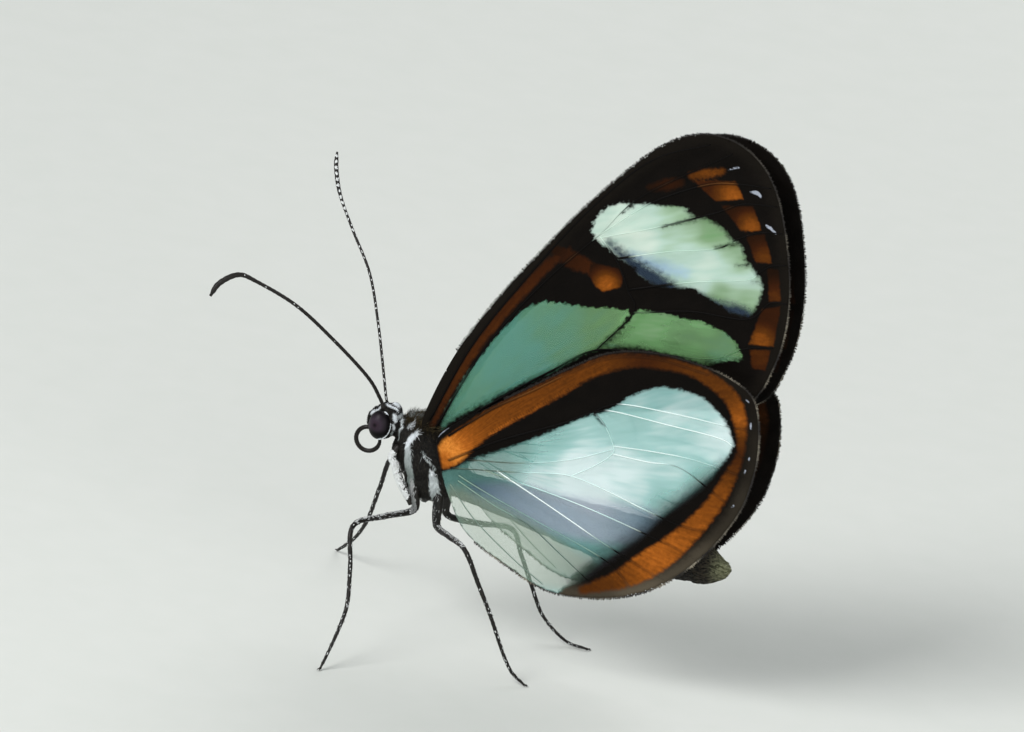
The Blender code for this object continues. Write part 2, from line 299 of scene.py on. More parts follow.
def flowing(points, steps, closed=False):
    """A Catmull-Rom curve through points of any number of coordinates."""
    points = np.array(points, float)
    if closed:
        ends = np.vstack([points[-1:], points, points[:2]])
    else:
        ends = np.vstack([2 * points[:1] - points[1:2], points, 2 * points[-1:] - points[-2:-1]])
    t = np.linspace(0, 1, steps, endpoint=False)[:, None]
    spans = [
        0.5 * (2 * b + (c - a) * t + (2 * a - 5 * b + 4 * c - d) * t ** 2
               + (3 * b - a - 3 * c + d) * t ** 3)
        for a, b, c, d in zip(ends, ends[1:], ends[2:], ends[3:])]
    curve = np.vstack(spans)
    return curve if closed else np.vstack([curve, points[-1:]])


def inset(points, outline):
    """How deep in mm each point lies in a closed outline, below 0 outside, and the nearest
    point of the outline."""
    depth = np.full(len(points), 1e9)
    foot = np.zeros_like(points)
    within = np.zeros(len(points), bool)
    for a, b in zip(outline, np.roll(outline, -1, axis=0)):
        edge = b - a
        if not edge.any():
            continue
        share = np.clip((points - a) @ edge / (edge @ edge), 0, 1)
        near = a + share[:, None] * edge
        apart = lengths(points - near)
        closer = apart < depth
        depth[closer] = apart[closer]
        foot[closer] = near[closer]
        if a[1] != b[1]:
            crossing = a[0] + (points[:, 1] - a[1]) / edge[1] * edge[0]
            within ^= ((a[1] > points[:, 1]) != (b[1] > points[:, 1])) & (points[:, 0] < crossing)
    return np.where(within, depth, -depth), foot


def ribbon(points, line):
    """How deep each point lies in a band: each row of the line is a place, then half the
    band's width there, then its brightness where that is used. Returns both."""
    room = points.shape[1]
    depth = np.full(len(points), -1e9)
    glow = np.zeros(len(points))
    for start, end in zip(line, line[1:]):
        edge = (end - start)[:room]
        if not edge.any():
            continue
        share = np.clip((points - start[:room]) @ edge / (edge @ edge), 0, 1)[:, None]
        here = start + share * (end - start)
        deep = here[:, room] - lengths(points - here[:, :room])
        deeper = deep > depth
        depth[deeper] = deep[deeper]
        glow[deeper] = here[deeper, -1]
    return depth, glow


def from_places(points, places):
    """A value at each point, mixed from the values at a few named places."""
    places = np.array(places, float)
    apart = np.linalg.norm(points[:, None] - places[None, :, :2], axis=2)
    weight = 1 / (apart ** 2 + 0.5) ** 2
    return (weight * places[:, 2]).sum(1) / weight.sum(1)


# %% [markdown]
# The forewing: a clear teal cell, a second window beyond a dark bar, and a white band near
# the tip, in a black border with a dark orange costal strip, an orange spot at the cell's end
# and a row of orange blocks before the margin. The lists are the outline and the marks as
# they lie in the wing's plane, in millimetres, X back and Z up.

# %% The forewing's plan
FOREWING = {
    "outline": [
        (1.6, 11.9), (1.7, 13.4), (2.9, 17.0), (4.7, 20.5), (6.6, 23.6), (8.5, 26.5),
        (10.4, 29.0), (12.3, 31.1), (14.2, 32.2), (16.0, 32.3), (17.6, 31.6), (18.8, 30.2),
        (19.7, 28.0), (20.4, 25.2), (20.6, 22.6), (20.3, 20.4), (19.5, 18.3), (17.5, 17.2),
        (13.0, 16.0), (8.0, 14.2), (4.5, 12.4), (2.8, 11.2)],
    "root": (2.0, 11.9),
    "away": (1.05, 1.15),
    "windows": [
        [(2.6, 12.3), (3.1, 14.3), (3.7, 15.9), (4.6, 17.7), (5.5, 19.2), (6.3, 20.3),
         (7.5, 20.9), (9.8, 21.2), (11.9, 21.5), (11.9, 21.1), (10.6, 19.1), (9.9, 18.6),
         (8.4, 17.3), (6.6, 15.9), (4.6, 14.2), (3.1, 12.9)],
        [(12.4, 21.6), (13.7, 21.8), (16.0, 21.8), (17.6, 21.4), (18.4, 20.6), (18.2, 20.2),
         (16.3, 19.7), (13.4, 19.7), (12.0, 19.5), (10.8, 19.1), (10.9, 19.3), (11.9, 20.9)],
        [(9.2, 25.6), (9.45, 26.5), (10.1, 27.15), (10.75, 27.45), (11.6, 27.6), (13.1, 27.8),
         (14.0, 27.85), (14.6, 27.5), (15.4, 27.55), (16.05, 27.3), (16.7, 26.9), (17.55, 26.4),
         (17.75, 25.85), (18.3, 25.45), (18.7, 25.05), (18.9, 24.6), (18.9, 24.0), (18.6, 22.95),
         (18.2, 22.75), (17.5, 22.8), (16.65, 23.05), (15.2, 23.6), (14.2, 23.4), (13.2, 23.4),
         (12.2, 23.6), (11.9, 24.0), (11.05, 24.3), (10.3, 24.7), (9.5, 25.1)]],
    "fans": [(2.0, 11.9, 1.0), (-4.0, 18.0, 1.4), (-12.7, 14.9, 1.8)],
    "orange": [
        [(2.1, 12.3, 0.12, 0.18), (2.72, 14.4, 0.2, 0.24), (3.97, 17.55, 0.24, 0.24),
         (5.3, 20.05, 0.26, 0.22), (6.9, 22.7, 0.28, 0.18), (8.2, 24.2, 0.1, 0.1)],
        [(7.5, 23.9, 0.3, 0.02), (8.4, 23.6, 0.5, 0.1), (9.3, 23.4, 0.4, 0.16)],
        [(12.0, 28.6, 0.2, 0.0), (12.9, 29.0, 0.3, 0.08), (13.6, 29.3, 0.22, 0.04)],
        [(14.15, 29.8, 0.24, 0.34), (14.9, 30.12, 0.26, 0.44), (15.75, 30.45, 0.16, 0.38)]],
    "blocks": [
        ([(9.24, 23.7), (11.04, 23.75), (11.35, 23.3), (11.3, 22.74), (10.37, 22.22),
          (9.87, 22.44), (9.4, 23.0)], 0.0, 0.64, (10.5, 22.65)),
        ([(14.28, 29.57), (16.59, 30.1), (17.14, 29.22), (15.62, 28.68)],
         0.2, 0.6, (16.5, 29.2)),
        ([(15.99, 28.57), (17.74, 28.96), (18.43, 27.72), (17.26, 27.41)],
         0.06, 0.54, (17.85, 27.75)),
        ([(17.6, 27.29), (18.61, 27.55), (19.27, 26.05), (18.33, 25.84)],
         0.04, 0.36, (18.85, 26.15)),
        ([(19.05, 25.71), (19.69, 25.77), (20.1, 24.01), (19.45, 23.82)],
         0.0, 0.28, (19.8, 24.2)),
        ([(19.12, 23.38), (20.12, 23.74), (20.1, 21.43), (18.71, 21.22)],
         0.12, 0.52, (19.35, 21.5)),
        ([(18.85, 20.97), (19.96, 21.2), (19.85, 19.99), (19.07, 19.9)],
         0.14, 0.26, (19.4, 20.8))],
    "white": [
        [(17.45, 29.7, 0.05), (17.8, 29.75, 0.12), (18.05, 29.6, 0.07)],
        [(18.6, 28.05, 0.05), (18.85, 28.0, 0.09), (19.25, 27.75, 0.04)],
        [(16.05, 30.6, 0.02), (16.6, 30.87, 0.05)]],
    "bars": [
        [(12.25, 21.6, 0.1), (11.6, 20.4, 0.1), (10.7, 19.1, 0.1)],
        [(10.7, 26.8, 0.02), (11.3, 27.7, 0.1)],
        [(13.0, 26.6, 0.02), (14.4, 27.3, 0.06), (15.0, 27.65, 0.13)],
        [(16.1, 26.15, 0.02), (17.3, 26.7, 0.07), (18.0, 27.0, 0.12)],
        [(17.3, 25.4, 0.02), (18.3, 25.75, 0.09)],
        [(18.4, 24.75, 0.02), (19.3, 25.0, 0.08)]],
    "border": [(10, 20, 0.1)],
    # The film's paleness at named places: partly its own tint, partly painted reflection.
    "pale": [
        (3.5, 14, 0.08), (5.8, 17.8, 0.0), (8.3, 19.9, 0.12), (10.5, 20.4, 0.28),
        (12.7, 21.0, 0.42), (15.1, 20.6, 0.33), (17.4, 20.7, 0.26),
        (10.2, 26.5, 0.94), (11.8, 26.6, 0.87), (12.0, 25.7, 1.0), (13.8, 26.5, 0.74),
        (14.0, 27.4, 0.62), (15.8, 26.8, 0.5), (16.4, 26.4, 0.53), (14.5, 25.1, 0.88),
        (16.0, 25.4, 0.98), (17.5, 25.8, 0.6), (18.1, 24.7, 0.86), (17.0, 24.7, 0.9),
        (15.7, 24.1, 0.95), (16.7, 23.7, 0.5), (18.3, 23.8, 0.6), (14.0, 24.6, 0.8)],
    "film": [
        (3.5, 14, 0.6), (8, 19, 0.6), (12, 20.5, 0.6), (17.5, 20.7, 0.6),
        (10, 26.5, 0.62), (14, 25.5, 0.6), (18.3, 24.2, 0.58)],
    "patches": {
        "violet": ("#5f84b4", "#b2d0e6", [
            [(11.6, 24.6, 0.15, 0.4), (13.2, 24.35, 0.34, 0.7), (14.6, 24.3, 0.25, 1)]])},
    # Bands of painted shade under the outer window: place and half width.
    "shade_band": [
        [(10.3, 25.0, 0.14), (11.3, 24.4, 0.32), (12.5, 23.8, 0.5),
         (13.5, 23.5, 0.44), (14.7, 23.25, 0.14)],
        [(15.1, 23.3, 0.1), (16.8, 22.95, 0.32), (18.0, 22.85, 0.4),
         (18.8, 22.7, 0.3)]],
    "shade_band_soft": 0.35,
    "crisp": [
        (5.0, 18.5, 1), (8, 21, 1), (12, 21.6, 1), (16, 21.9, 1), (18.4, 20.6, 0.8),
        (4, 13.5, 0.4), (8, 17, 0.3), (12, 19.4, 0.3), (16, 19.6, 0.3), (9.5, 26, 0.8),
        (12, 27.6, 0.6), (16, 27.2, 0.35), (18.6, 25.5, 0.4), (18.8, 23.5, 0.5),
        (14, 23.4, 0.5), (11, 24.5, 0.6)],
    "tints": {0.0: "#5b9484", 0.15: "#5f9072", 0.3: "#668e5e", 0.42: "#74a56c", 0.55: "#8bad83",
              0.7: "#aac8aa", 0.85: "#c3ded0", 1.0: "#dcebde"},
    "ragged": 0.36,
    "vein_tints": {0.0: "#4d7f70", 0.3: "#587d54", 0.55: "#80a27a", 0.85: "#c3ded0",
                   1.0: "#d8e8da"},
    "vein_width": 0.02,
    "vein_in_orange": 1,
    "vein_shade": 0.6,
    "shade_band_colour": "#2a3644",
    "rim": [(10, 20, 0.04)],
    "fringe": [
        (8, 26, 0), (14, 32, 0), (19, 30, 0.05), (20.5, 25, 0.16), (20.3, 21, 0.3),
        (19, 18, 0.35)],
    "droop": 1.9,
    "veins": [
        [(1.9, 12.6), (3.6, 17.4), (6.0, 21.9), (8.9, 26.6), (11.8, 30.1), (14.9, 31.8)],
        [(2.3, 12.2), (4.1, 16.9), (5.9, 20.2), (7.8, 23.0), (9.7, 25.4), (11.6, 28.0),
         (16.2, 31.6)],
        [(9.7, 25.4), (12.2, 27.8), (15.0, 29.5), (16.8, 30.0), (18.6, 30.2)],
        [(9.7, 25.2), (12.9, 26.6), (15.8, 28.1), (17.2, 28.95), (19.3, 29.3)],
        [(10.9, 24.3), (13.5, 25.3), (16.1, 26.1), (17.3, 27.0), (18.4, 27.6), (19.9, 27.9)],
        [(11.7, 22.7), (15.0, 23.9), (18.0, 24.75), (18.7, 25.4), (19.3, 25.9), (20.3, 26.2)],
        [(12.2, 21.5), (15.3, 22.3), (18.4, 22.6), (19.5, 23.8), (20.6, 24.0)],
        [(2.6, 12.0), (5.6, 14.8), (8.1, 17.0), (10.5, 18.9), (14.0, 19.5), (17.0, 20.0),
         (18.6, 20.95), (20.1, 21.35)],
        [(9.7, 25.3), (10.9, 24.1), (11.7, 22.7), (12.2, 21.5), (10.5, 18.9)],
        [(2.9, 11.8), (6.9, 13.9), (13.4, 16.6), (19.0, 18.5)]],
    "glinting_veins": {},
    "dark_veins": {1: (0.66, 0.84, 0.4), 8: (0.6, 1.0, 0.85)},
}

# %% [markdown]
# The hindwing lies outside the forewing. Its orange band runs round a large milky window,
# black on both sides, and ends in a bright orange patch at the wing's root. The lower part
# of the window, next to the body's end, is almost clear. Some veins catch the light there.

# %% The hindwing's plan
HINDWING = {
    "outline": [
        (2.7, 11.9), (3.4, 12.9), (5.4, 14.6), (7.4, 16.2), (9.4, 17.8), (11.4, 19.2),
        (13.6, 19.8), (16.0, 19.8), (18.2, 19.4), (19.7, 18.5), (20.3, 16.6), (20.4, 14.6),
        (20.0, 12.3), (18.9, 10.0), (17.3, 7.9), (15.4, 6.3), (13.0, 5.3), (10.2, 5.0),
        (7.8, 5.8), (5.2, 7.1), (3.9, 8.8), (3.1, 10.4)],
    "root": (3.1, 11.1),
    "away": (1.8, 2.05),
    "windows": [
        [(5.0, 11.4), (6.3, 12.2), (8.4, 13.6), (10.4, 15.1), (12.1, 16.2), (13.0, 17.1),
         (14.3, 17.9), (15.1, 18.1), (16.8, 18.0), (18.1, 17.2), (18.8, 16.3), (19.0, 15.6),
         (18.5, 14.4), (17.9, 13.3), (16.9, 11.9), (15.7, 10.6), (14.8, 9.2), (13.6, 7.8),
         (12.3, 6.4), (11.0, 5.4), (10.2, 4.6), (7.4, 5.3), (5.0, 6.6), (3.2, 8.6),
         (3.0, 9.8), (4.0, 10.6)]],
    "orange": [
        [(3.3, 10.95, 0.55, 0.74), (3.65, 11.55, 0.74, 0.9), (4.5, 12.6, 0.66, 0.64),
         (5.7, 13.92, 0.58, 0.5), (7.75, 15.68, 0.56, 0.46), (9.8, 17.45, 0.48, 0.42),
         (11.2, 18.45, 0.44, 0.42), (12.6, 19.08, 0.4, 0.28), (13.8, 19.32, 0.36, 0.22),
         (15.8, 19.42, 0.34, 0.36), (17.3, 19.02, 0.4, 0.38), (18.5, 18.3, 0.42, 0.42),
         (19.15, 17.2, 0.38, 0.64), (19.4, 16.2, 0.24, 0.36), (19.45, 15.2, 0.22, 0.24),
         (19.2, 14.2, 0.32, 0.36), (18.85, 13.1, 0.4, 0.5), (18.4, 12.0, 0.45, 0.56),
         (17.45, 10.4, 0.55, 0.6), (16.5, 9.1, 0.66, 0.68), (15.3, 7.8, 0.72, 0.66),
         (13.8, 6.5, 0.5, 0.42), (12.0, 5.5, 0.22, 0.3)],
        [(4.85, 12.2, 0.06, 0.8), (6.05, 13.5, 0.08, 0.74), (8.1, 15.28, 0.08, 0.62),
         (10.1, 17.1, 0.06, 0.46)]],
    "blocks": [],
    "fans": [(3.1, 11.1, 1.0)],
    "white": [
        [(2.75, 12.1, 0.03), (3.1, 12.65, 0.05), (3.4, 13.0, 0.02)],
        [(19.25, 18.45, 0.04), (19.45, 18.35, 0.04)],
        [(19.75, 17.2, 0.05), (19.82, 16.9, 0.06)],
        [(20.0, 15.3, 0.04), (20.02, 15.1, 0.04)],
        [(19.9, 14.5, 0.04), (19.85, 14.3, 0.04)],
        [(19.6, 12.45, 0.04), (19.5, 12.3, 0.03)]],
    "bars": [[(11.0, 15.8, 0.08), (11.4, 15.4, 0.06), (11.8, 15.1, 0.02)]],
    "border": [
        (4, 8.5, 0), (6, 7, 0), (8, 5.7, 0), (13, 19.8, 0.1), (20, 15, 0.1), (15, 6, 0.1),
        (5, 14, 0.1)],
    # The film's paleness at named places: partly its own tint, partly painted reflection.
    "pale": [
        (5.0, 11.2, 0.1), (6.4, 11.6, 0.15), (7.4, 12.2, 0.34), (9, 13.5, 0.56),
        (12, 15.5, 0.7), (14.5, 17.3, 0.74), (17.2, 16.8, 0.82), (18.3, 16.4, 1.0),
        (18.2, 15.4, 0.9), (15.2, 16.4, 0.9), (13.7, 15.2, 0.68), (15.6, 15.2, 0.74),
        (16.2, 13.6, 0.86), (13.4, 12.9, 0.98),
        (10.5, 12.2, 1.1), (14, 11.6, 0.88), (11.5, 11.2, 1.1), (8.5, 11.3, 0.92),
        (17.6, 13.3, 0.35), (15.9, 11.2, 0.4), (15, 9.5, 0.3), (11, 8.4, 0.5), (7, 9.2, 0.45),
        (12, 7.2, 0.36), (8, 7.0, 0.36), (5, 8.6, 0.36)],
    "film": [
        (5.5, 11.3, 0.42), (9, 13.3, 0.42), (12, 15.5, 0.42), (15, 17, 0.42),
        (17.8, 16.3, 0.42), (16, 13.6, 0.42), (13, 12.6, 0.42), (10, 11.8, 0.42),
        (14.5, 10.2, 0.4), (12, 9.6, 0.32), (8.5, 9.8, 0.3), (5.8, 9.9, 0.28),
        (12.4, 8.0, 0.3), (11, 6.8, 0.3), (8, 7.2, 0.26), (5, 8.6, 0.24)],
    "patches": {
        "green": ("#55654f", "#b3c2ac", [
            [(4.2, 8.9, 0.6, 0.8), (6.2, 8.0, 1.4, 0.8), (8.5, 7.0, 1.7, 0.75),
             (10.6, 6.5, 1.3, 0.4), (12.2, 6.5, 0.8, 0)]]),
        "violet": ("#4f6480", "#c4cfe0", [
            [(5.2, 9.8, 0.25, 0.04), (6.8, 9.9, 0.6, 0.42), (8.2, 9.75, 0.9, 0.72),
             (10.2, 9.5, 1.15, 0.9), (12.2, 9.6, 1.2, 1), (13.6, 9.8, 1.2, 0.6),
             (15.0, 10.1, 1.0, 0.2)]])},
    # A band of painted shade along the window's lower outer edge, next to the orange band: place and
    # half width.
    "shade_band": [[
        (18.8, 14.5, 0.25), (17.5, 12.6, 0.5), (16.4, 10.9, 0.75),
        (15.5, 9.4, 0.85), (14.4, 7.9, 1.15), (13.2, 7.0, 0.9), (12.0, 6.2, 0.4),
        (11.2, 5.8, 0.1)]],
    "shade_band_soft": 0.6,
    "crisp": [
        (5.5, 11.6, 0.5), (9, 14.2, 0.6), (12, 16.8, 0.7), (15, 18.1, 0.6), (18, 17.2, 0.6),
        (19, 15.6, 0.6), (17.5, 12.8, 0.32), (15, 9.5, 0.3), (12, 6.5, 0.4), (8, 5.5, 1.0),
        (4, 8.5, 1.0)],
    "tints": {0.0: "#5c837c", 0.25: "#6a9c94", 0.5: "#86c0b9", 0.75: "#a9d8d4",
              1.0: "#eafcfc"},
    "ragged": 0.24,
    "vein_tints": {0.3: "#8a9c8c", 0.5: "#84a09c", 0.75: "#b9dcd8", 1.0: "#dcf1ee"},
    "vein_width": 0.028,
    "vein_in_orange": 0,
    "vein_shade": 0.34,
    "shade_band_colour": "#1b1a1c",
    "rim": [
        (5, 14, 0), (8, 16.7, 0), (14, 19.8, 0), (19.3, 18.6, 0.05), (20.2, 15, 0.12),
        (19.6, 12.3, 0.25), (17.3, 7.9, 0.6), (15.4, 6.3, 0.95), (12.5, 5.3, 0.5)],
    "fringe": [
        (4, 13.5, 0), (8, 16.7, 0), (15, 19.8, 0), (19.8, 18.5, 0.3), (20.4, 15, 0.3),
        (20, 12, 0.25), (17.5, 8, 0.5), (15, 6, 0.3), (11, 5, 0.1), (8, 5.8, 0.35),
        (5.2, 7.1, 0.45), (3.9, 8.8, 0.4)],
    "droop": 3.1,
    "veins": [
        [(3.3, 12.3), (5.5, 14.45), (7.5, 16.0), (9.5, 17.6), (11.5, 18.95), (14, 19.55),
         (17, 19.35)],
        [(3.5, 10.9), (6.2, 12.8), (9.4, 14.6), (11.1, 15.75), (12.5, 16.55), (15.5, 16.75),
         (18.5, 16.75), (20.2, 16.8)],
        [(11.15, 15.73), (12.2, 16.05), (15.3, 16.05), (18.4, 15.95), (19.4, 15.3),
         (20.2, 15.1)],
        [(12.5, 14.1), (14.7, 14.35), (17, 14.45), (19.4, 14.2), (20.2, 14.1)],
        [(12.5, 13.65), (14.5, 13.7), (16.4, 13.8), (18.9, 12.6), (20, 12.3)],
        [(11.15, 15.73), (11.8, 15.19), (12.4, 14.3), (12.5, 13.65), (11.6, 12.7), (10.4, 11.8)],
        [(3.7, 10.5), (6.4, 11.05), (8.5, 11.5), (10.4, 11.8), (12.7, 11.45), (14.9, 10.95),
         (16.9, 10.6), (18.6, 10.6)],
        [(4.5, 11.2), (7.6, 11.85), (10.2, 12.7), (12.5, 13.9)],
        [(5.5, 10.9), (8.8, 10.6), (11.8, 10.2), (15.4, 9.55), (16.6, 9.3), (18.3, 8.8)],
        [(6.3, 11.05), (8.5, 10.2), (10.6, 9.35), (12.7, 8.5), (15.3, 7.6), (16.8, 7.2)],
        [(4.2, 10.2), (5.1, 9.9), (9.0, 8.75), (13.1, 7.5), (14.6, 6.4)],
        [(4.2, 9.9), (6.4, 9.1), (8.6, 8.4), (10.4, 7.3), (12.3, 6.1)],
        [(3.8, 9.6), (5.5, 8.0), (8.0, 6.3), (9.8, 5.3)]],
    # Vein stretches with a painted glint: start, end and strength.
    "glinting_veins": {1: (0.54, 0.83, 0.6), 2: (0.05, 0.68, 0.65), 3: (0.0, 0.42, 0.55),
                     4: (0.0, 0.36, 0.7), 6: (0.56, 0.72, 0.6), 8: (0.45, 0.66, 0.35),
                     9: (0.0, 0.54, 1.0)},
    "dark_veins": {4: (0.42, 0.75, 0.5), 6: (0.0, 0.18, 0.7), 7: (0.0, 0.3, 0.6),
                   11: (0.4, 1.0, 0.6), 12: (0.0, 1.0, 0.3)},
}
WINGS = {"forewing": FOREWING, "hindwing": HINDWING}

# %% [markdown]
# A wing is a membrane a few hundredths of a millimetre thick. Its shape starts as a grid of
# small triangles laid over the wing's box: corners near the outline are drawn onto it and
# the rest outside is cut off, which leaves an even mesh that can carry fine marks. The marks
# are stored on the corners as depths in millimetres, so that the finish can draw a sharp
# edge anywhere between two of them. Then the sheet is stood upright, pleated along its veins
# and bent in towards its root.

# %% Wing sheets
CELL = 0.105
SNAP = 0.62
MEMBRANE = 0.04
PLEAT = 0.07
PLEAT_REACH = 0.45
BEND_REACH = 4.5
SWAY = 0.12
RIGHT_CLOSER = 0.25
BLOCK_CRISP = 2.0
BLOCK_REACH = 1.4
ORANGE_FROM_EDGE = 0.1


def lateral(flat, plan, side):
    """The Y of the wing's middle at each place of its plane."""
    inner, outer = plan["away"]
    reach = lengths(flat - np.array(plan["root"]))
    share = smooth_step(0, BEND_REACH, reach)
    sway = SWAY * np.sin(flat[:, 0] / 3.1 + flat[:, 1] / 4.7) * smooth_step(3, 12, reach)
    return side * (inner + (outer - inner) * share + sway)


def upright(flat, plan, side, inward=0.0):
    """Stands places of the wing's plane upright. No butterfly closes both pairs quite alike,
    and here the right wings hang a little lower."""
    hinge = np.array(plan["root"])
    back, up = (flat - hinge).T
    droop = math.radians(plan["droop"]) * (side > 0)
    closer = RIGHT_CLOSER * (side > 0) * smooth_step(2, 12, np.hypot(back, up))
    return np.column_stack([
        hinge[0] + back * math.cos(droop) + up * math.sin(droop),
        lateral(flat, plan, side) - side * inward - closer,
        hinge[1] - back * math.sin(droop) + up * math.cos(droop)])


def vein_gap(flat, plan):
    """The distance in mm to the nearest vein."""
    lines = [np.array([(*spot, 0.0) for spot in flowing(vein, 6)]) for vein in plan["veins"]]
    return -np.max([ribbon(flat, line)[0] for line in lines], axis=0)


def deepest(flat, bands):
    """Depth and brightness in the band that each place lies deepest in."""
    found = [ribbon(flat, flowing(band, 6)) for band in bands]
    depths = np.array([depth for depth, glow in found])
    glows = np.array([glow for depth, glow in found])
    best = depths.argmax(0)
    column = np.arange(len(flat))
    return depths[best, column], glows[best, column]


def orange_marks(flat, plan, edge):
    """Depth and brightness in the orange ribbons and in the straight-edged blocks, each of
    which has a brightest place and dims away from it."""
    depth, glow = deepest(flat, plan["orange"])
    for corners, dim, bright, place in plan["blocks"]:
        deep = inset(flat, np.array(corners))[0] * BLOCK_CRISP
        away = smooth_step(0.1, BLOCK_REACH, lengths(flat - np.array(place)))
        deeper = deep > depth
        depth[deeper] = deep[deeper]
        glow[deeper] = (bright + (dim - bright) * away)[deeper]
    return np.minimum(depth, edge - ORANGE_FROM_EDGE), glow


def wing_marks(flat, plan, outline):
    """Every mark of the wing as a value at each corner of its mesh."""
    edge = inset(flat, outline)[0]
    depths = np.array([inset(flat, flowing(window, 6, True))[0] for window in plan["windows"]])
    fans = np.array(plan["fans"])[depths.argmax(0)]
    clear = np.minimum(depths.max(0), -deepest(flat, plan["bars"])[0])
    orange, glow = orange_marks(flat, plan, edge)
    away = flat - fans[:, :2]
    marks = {
        "edge": edge,
        "clear": np.minimum(clear, edge - from_places(flat, plan["border"])),
        "orange": orange,
        "glow": glow,
        "white": deepest(flat, plan["white"])[0],
        "shade_band": deepest(flat, plan["shade_band"])[0],
        "vein": vein_gap(flat, plan),
        "turn": np.arctan2(away[:, 1], away[:, 0]) * fans[:, 2],
        "reach": lengths(away),
    }
    for name in ("crisp", "pale", "film", "rim"):
        marks[name] = from_places(flat, plan[name])
    for name, (dark, light, bands) in plan["patches"].items():
        marks[name], marks[f"{name}_glow"] = deepest(flat, bands)
    return marks


def wing_sheet(kind, word, plan, looks):
    side = SIDES[word]
    outline = flowing(plan["outline"], 8, True)
    low = outline.min(0) - CELL
    size = outline.max(0) + CELL - low
    counts = np.ceil(size / CELL).astype(int)
    shape = bmesh.new()
    bmesh.ops.create_grid(shape, x_segments=int(counts[0]), y_segments=int(counts[1]), size=0.5)
    bmesh.ops.scale(shape, vec=(*size, 1), verts=shape.verts)
    bmesh.ops.translate(shape, vec=(*(low + size / 2), 0), verts=shape.verts)
    bmesh.ops.triangulate(shape, faces=shape.faces)
    flat = np.array([vertex.co[:2] for vertex in shape.verts])
    depth, foot = inset(flat, outline)
    outside = []
    for vertex, deep, spot in zip(shape.verts, depth, foot):
        if abs(deep) < SNAP * CELL:
            vertex.co.xy = spot
        elif deep < 0:
            outside.append(vertex)
    bmesh.ops.delete(shape, geom=outside, context="VERTS")
    bmesh.ops.dissolve_degenerate(shape, dist=0.002, edges=shape.edges)
    bmesh.ops.triangulate(shape, faces=shape.faces)
    loose = [vertex for vertex in shape.verts if not vertex.link_faces]
    bmesh.ops.delete(shape, geom=loose, context="VERTS")
    flat = np.array([vertex.co[:2] for vertex in shape.verts])
    marks = wing_marks(flat, plan, outline)
    pleat = PLEAT * smooth_step(0, 0.6, marks["edge"]) * (
        1 - np.exp(-(marks["vein"] / PLEAT_REACH) ** 2))
    for vertex, place in zip(shape.verts, upright(flat, plan, side, pleat)):
        vertex.co = place
    shape.normal_update()
    if sum(face.normal.y for face in shape.faces) * side < 0:
        bmesh.ops.reverse_faces(shape, faces=shape.faces)
    piece = settle(shape, f"{kind}_membrane_{word}", looks, [f"{kind}_{word}"])
    store_marks(piece.data, marks)
    wall = piece.modifiers.new("thickness", "SOLIDIFY")
    wall.thickness = MEMBRANE * MM
    wall.material_offset = 1
    wall.use_rim = True


# %% [markdown]
# The wing's finish has two layers. Scales, black or orange, are matte and opaque, in rows a
# tenth of a millimetre apart, and at the edge of a window they thin out in streaks that run
# away from the root. The bare membrane between them is a thin glossy film of chitin: it is
# partly see-through and throws back some blue-green light. That light is painted into its
# colour: the film's own teal tint turns milky where more light comes back, streaks of painted
# sheen run across it, it is violet in places, and a painted shade darkens it along some
# windows' edges. The underside shows in the photo; the upper side has the same windows but
# only a trace of orange and no white marks.


# %% Wing finishes
SCALE_ROW = 0.1
ROW_HEIGHT = 0.04
STREAKS_ROUND = 55.0
STREAKS_ALONG = 0.9
ORANGE_TINTS = {0.0: "#1c0d04", 0.2: "#371906", 0.4: "#552d09", 0.6: "#7d4310", 0.8: "#a95d1c",
                1.0: "#dc8a38"}


def ramp_colours(tree, factor, stops):
    """A ramp through hex colours at their places."""
    node = add(tree, "ShaderNodeValToRGB", {"Fac": factor})
    ramp = node.color_ramp.elements
    first, *middle, last = sorted(stops.items())
    ramp[0].position, ramp[0].color = first[0], linear(first[1])
    ramp[1].position, ramp[1].color = last[0], linear(last[1])
    for position, code in middle:
        ramp.new(position).color = linear(code)
    return node.outputs[0]


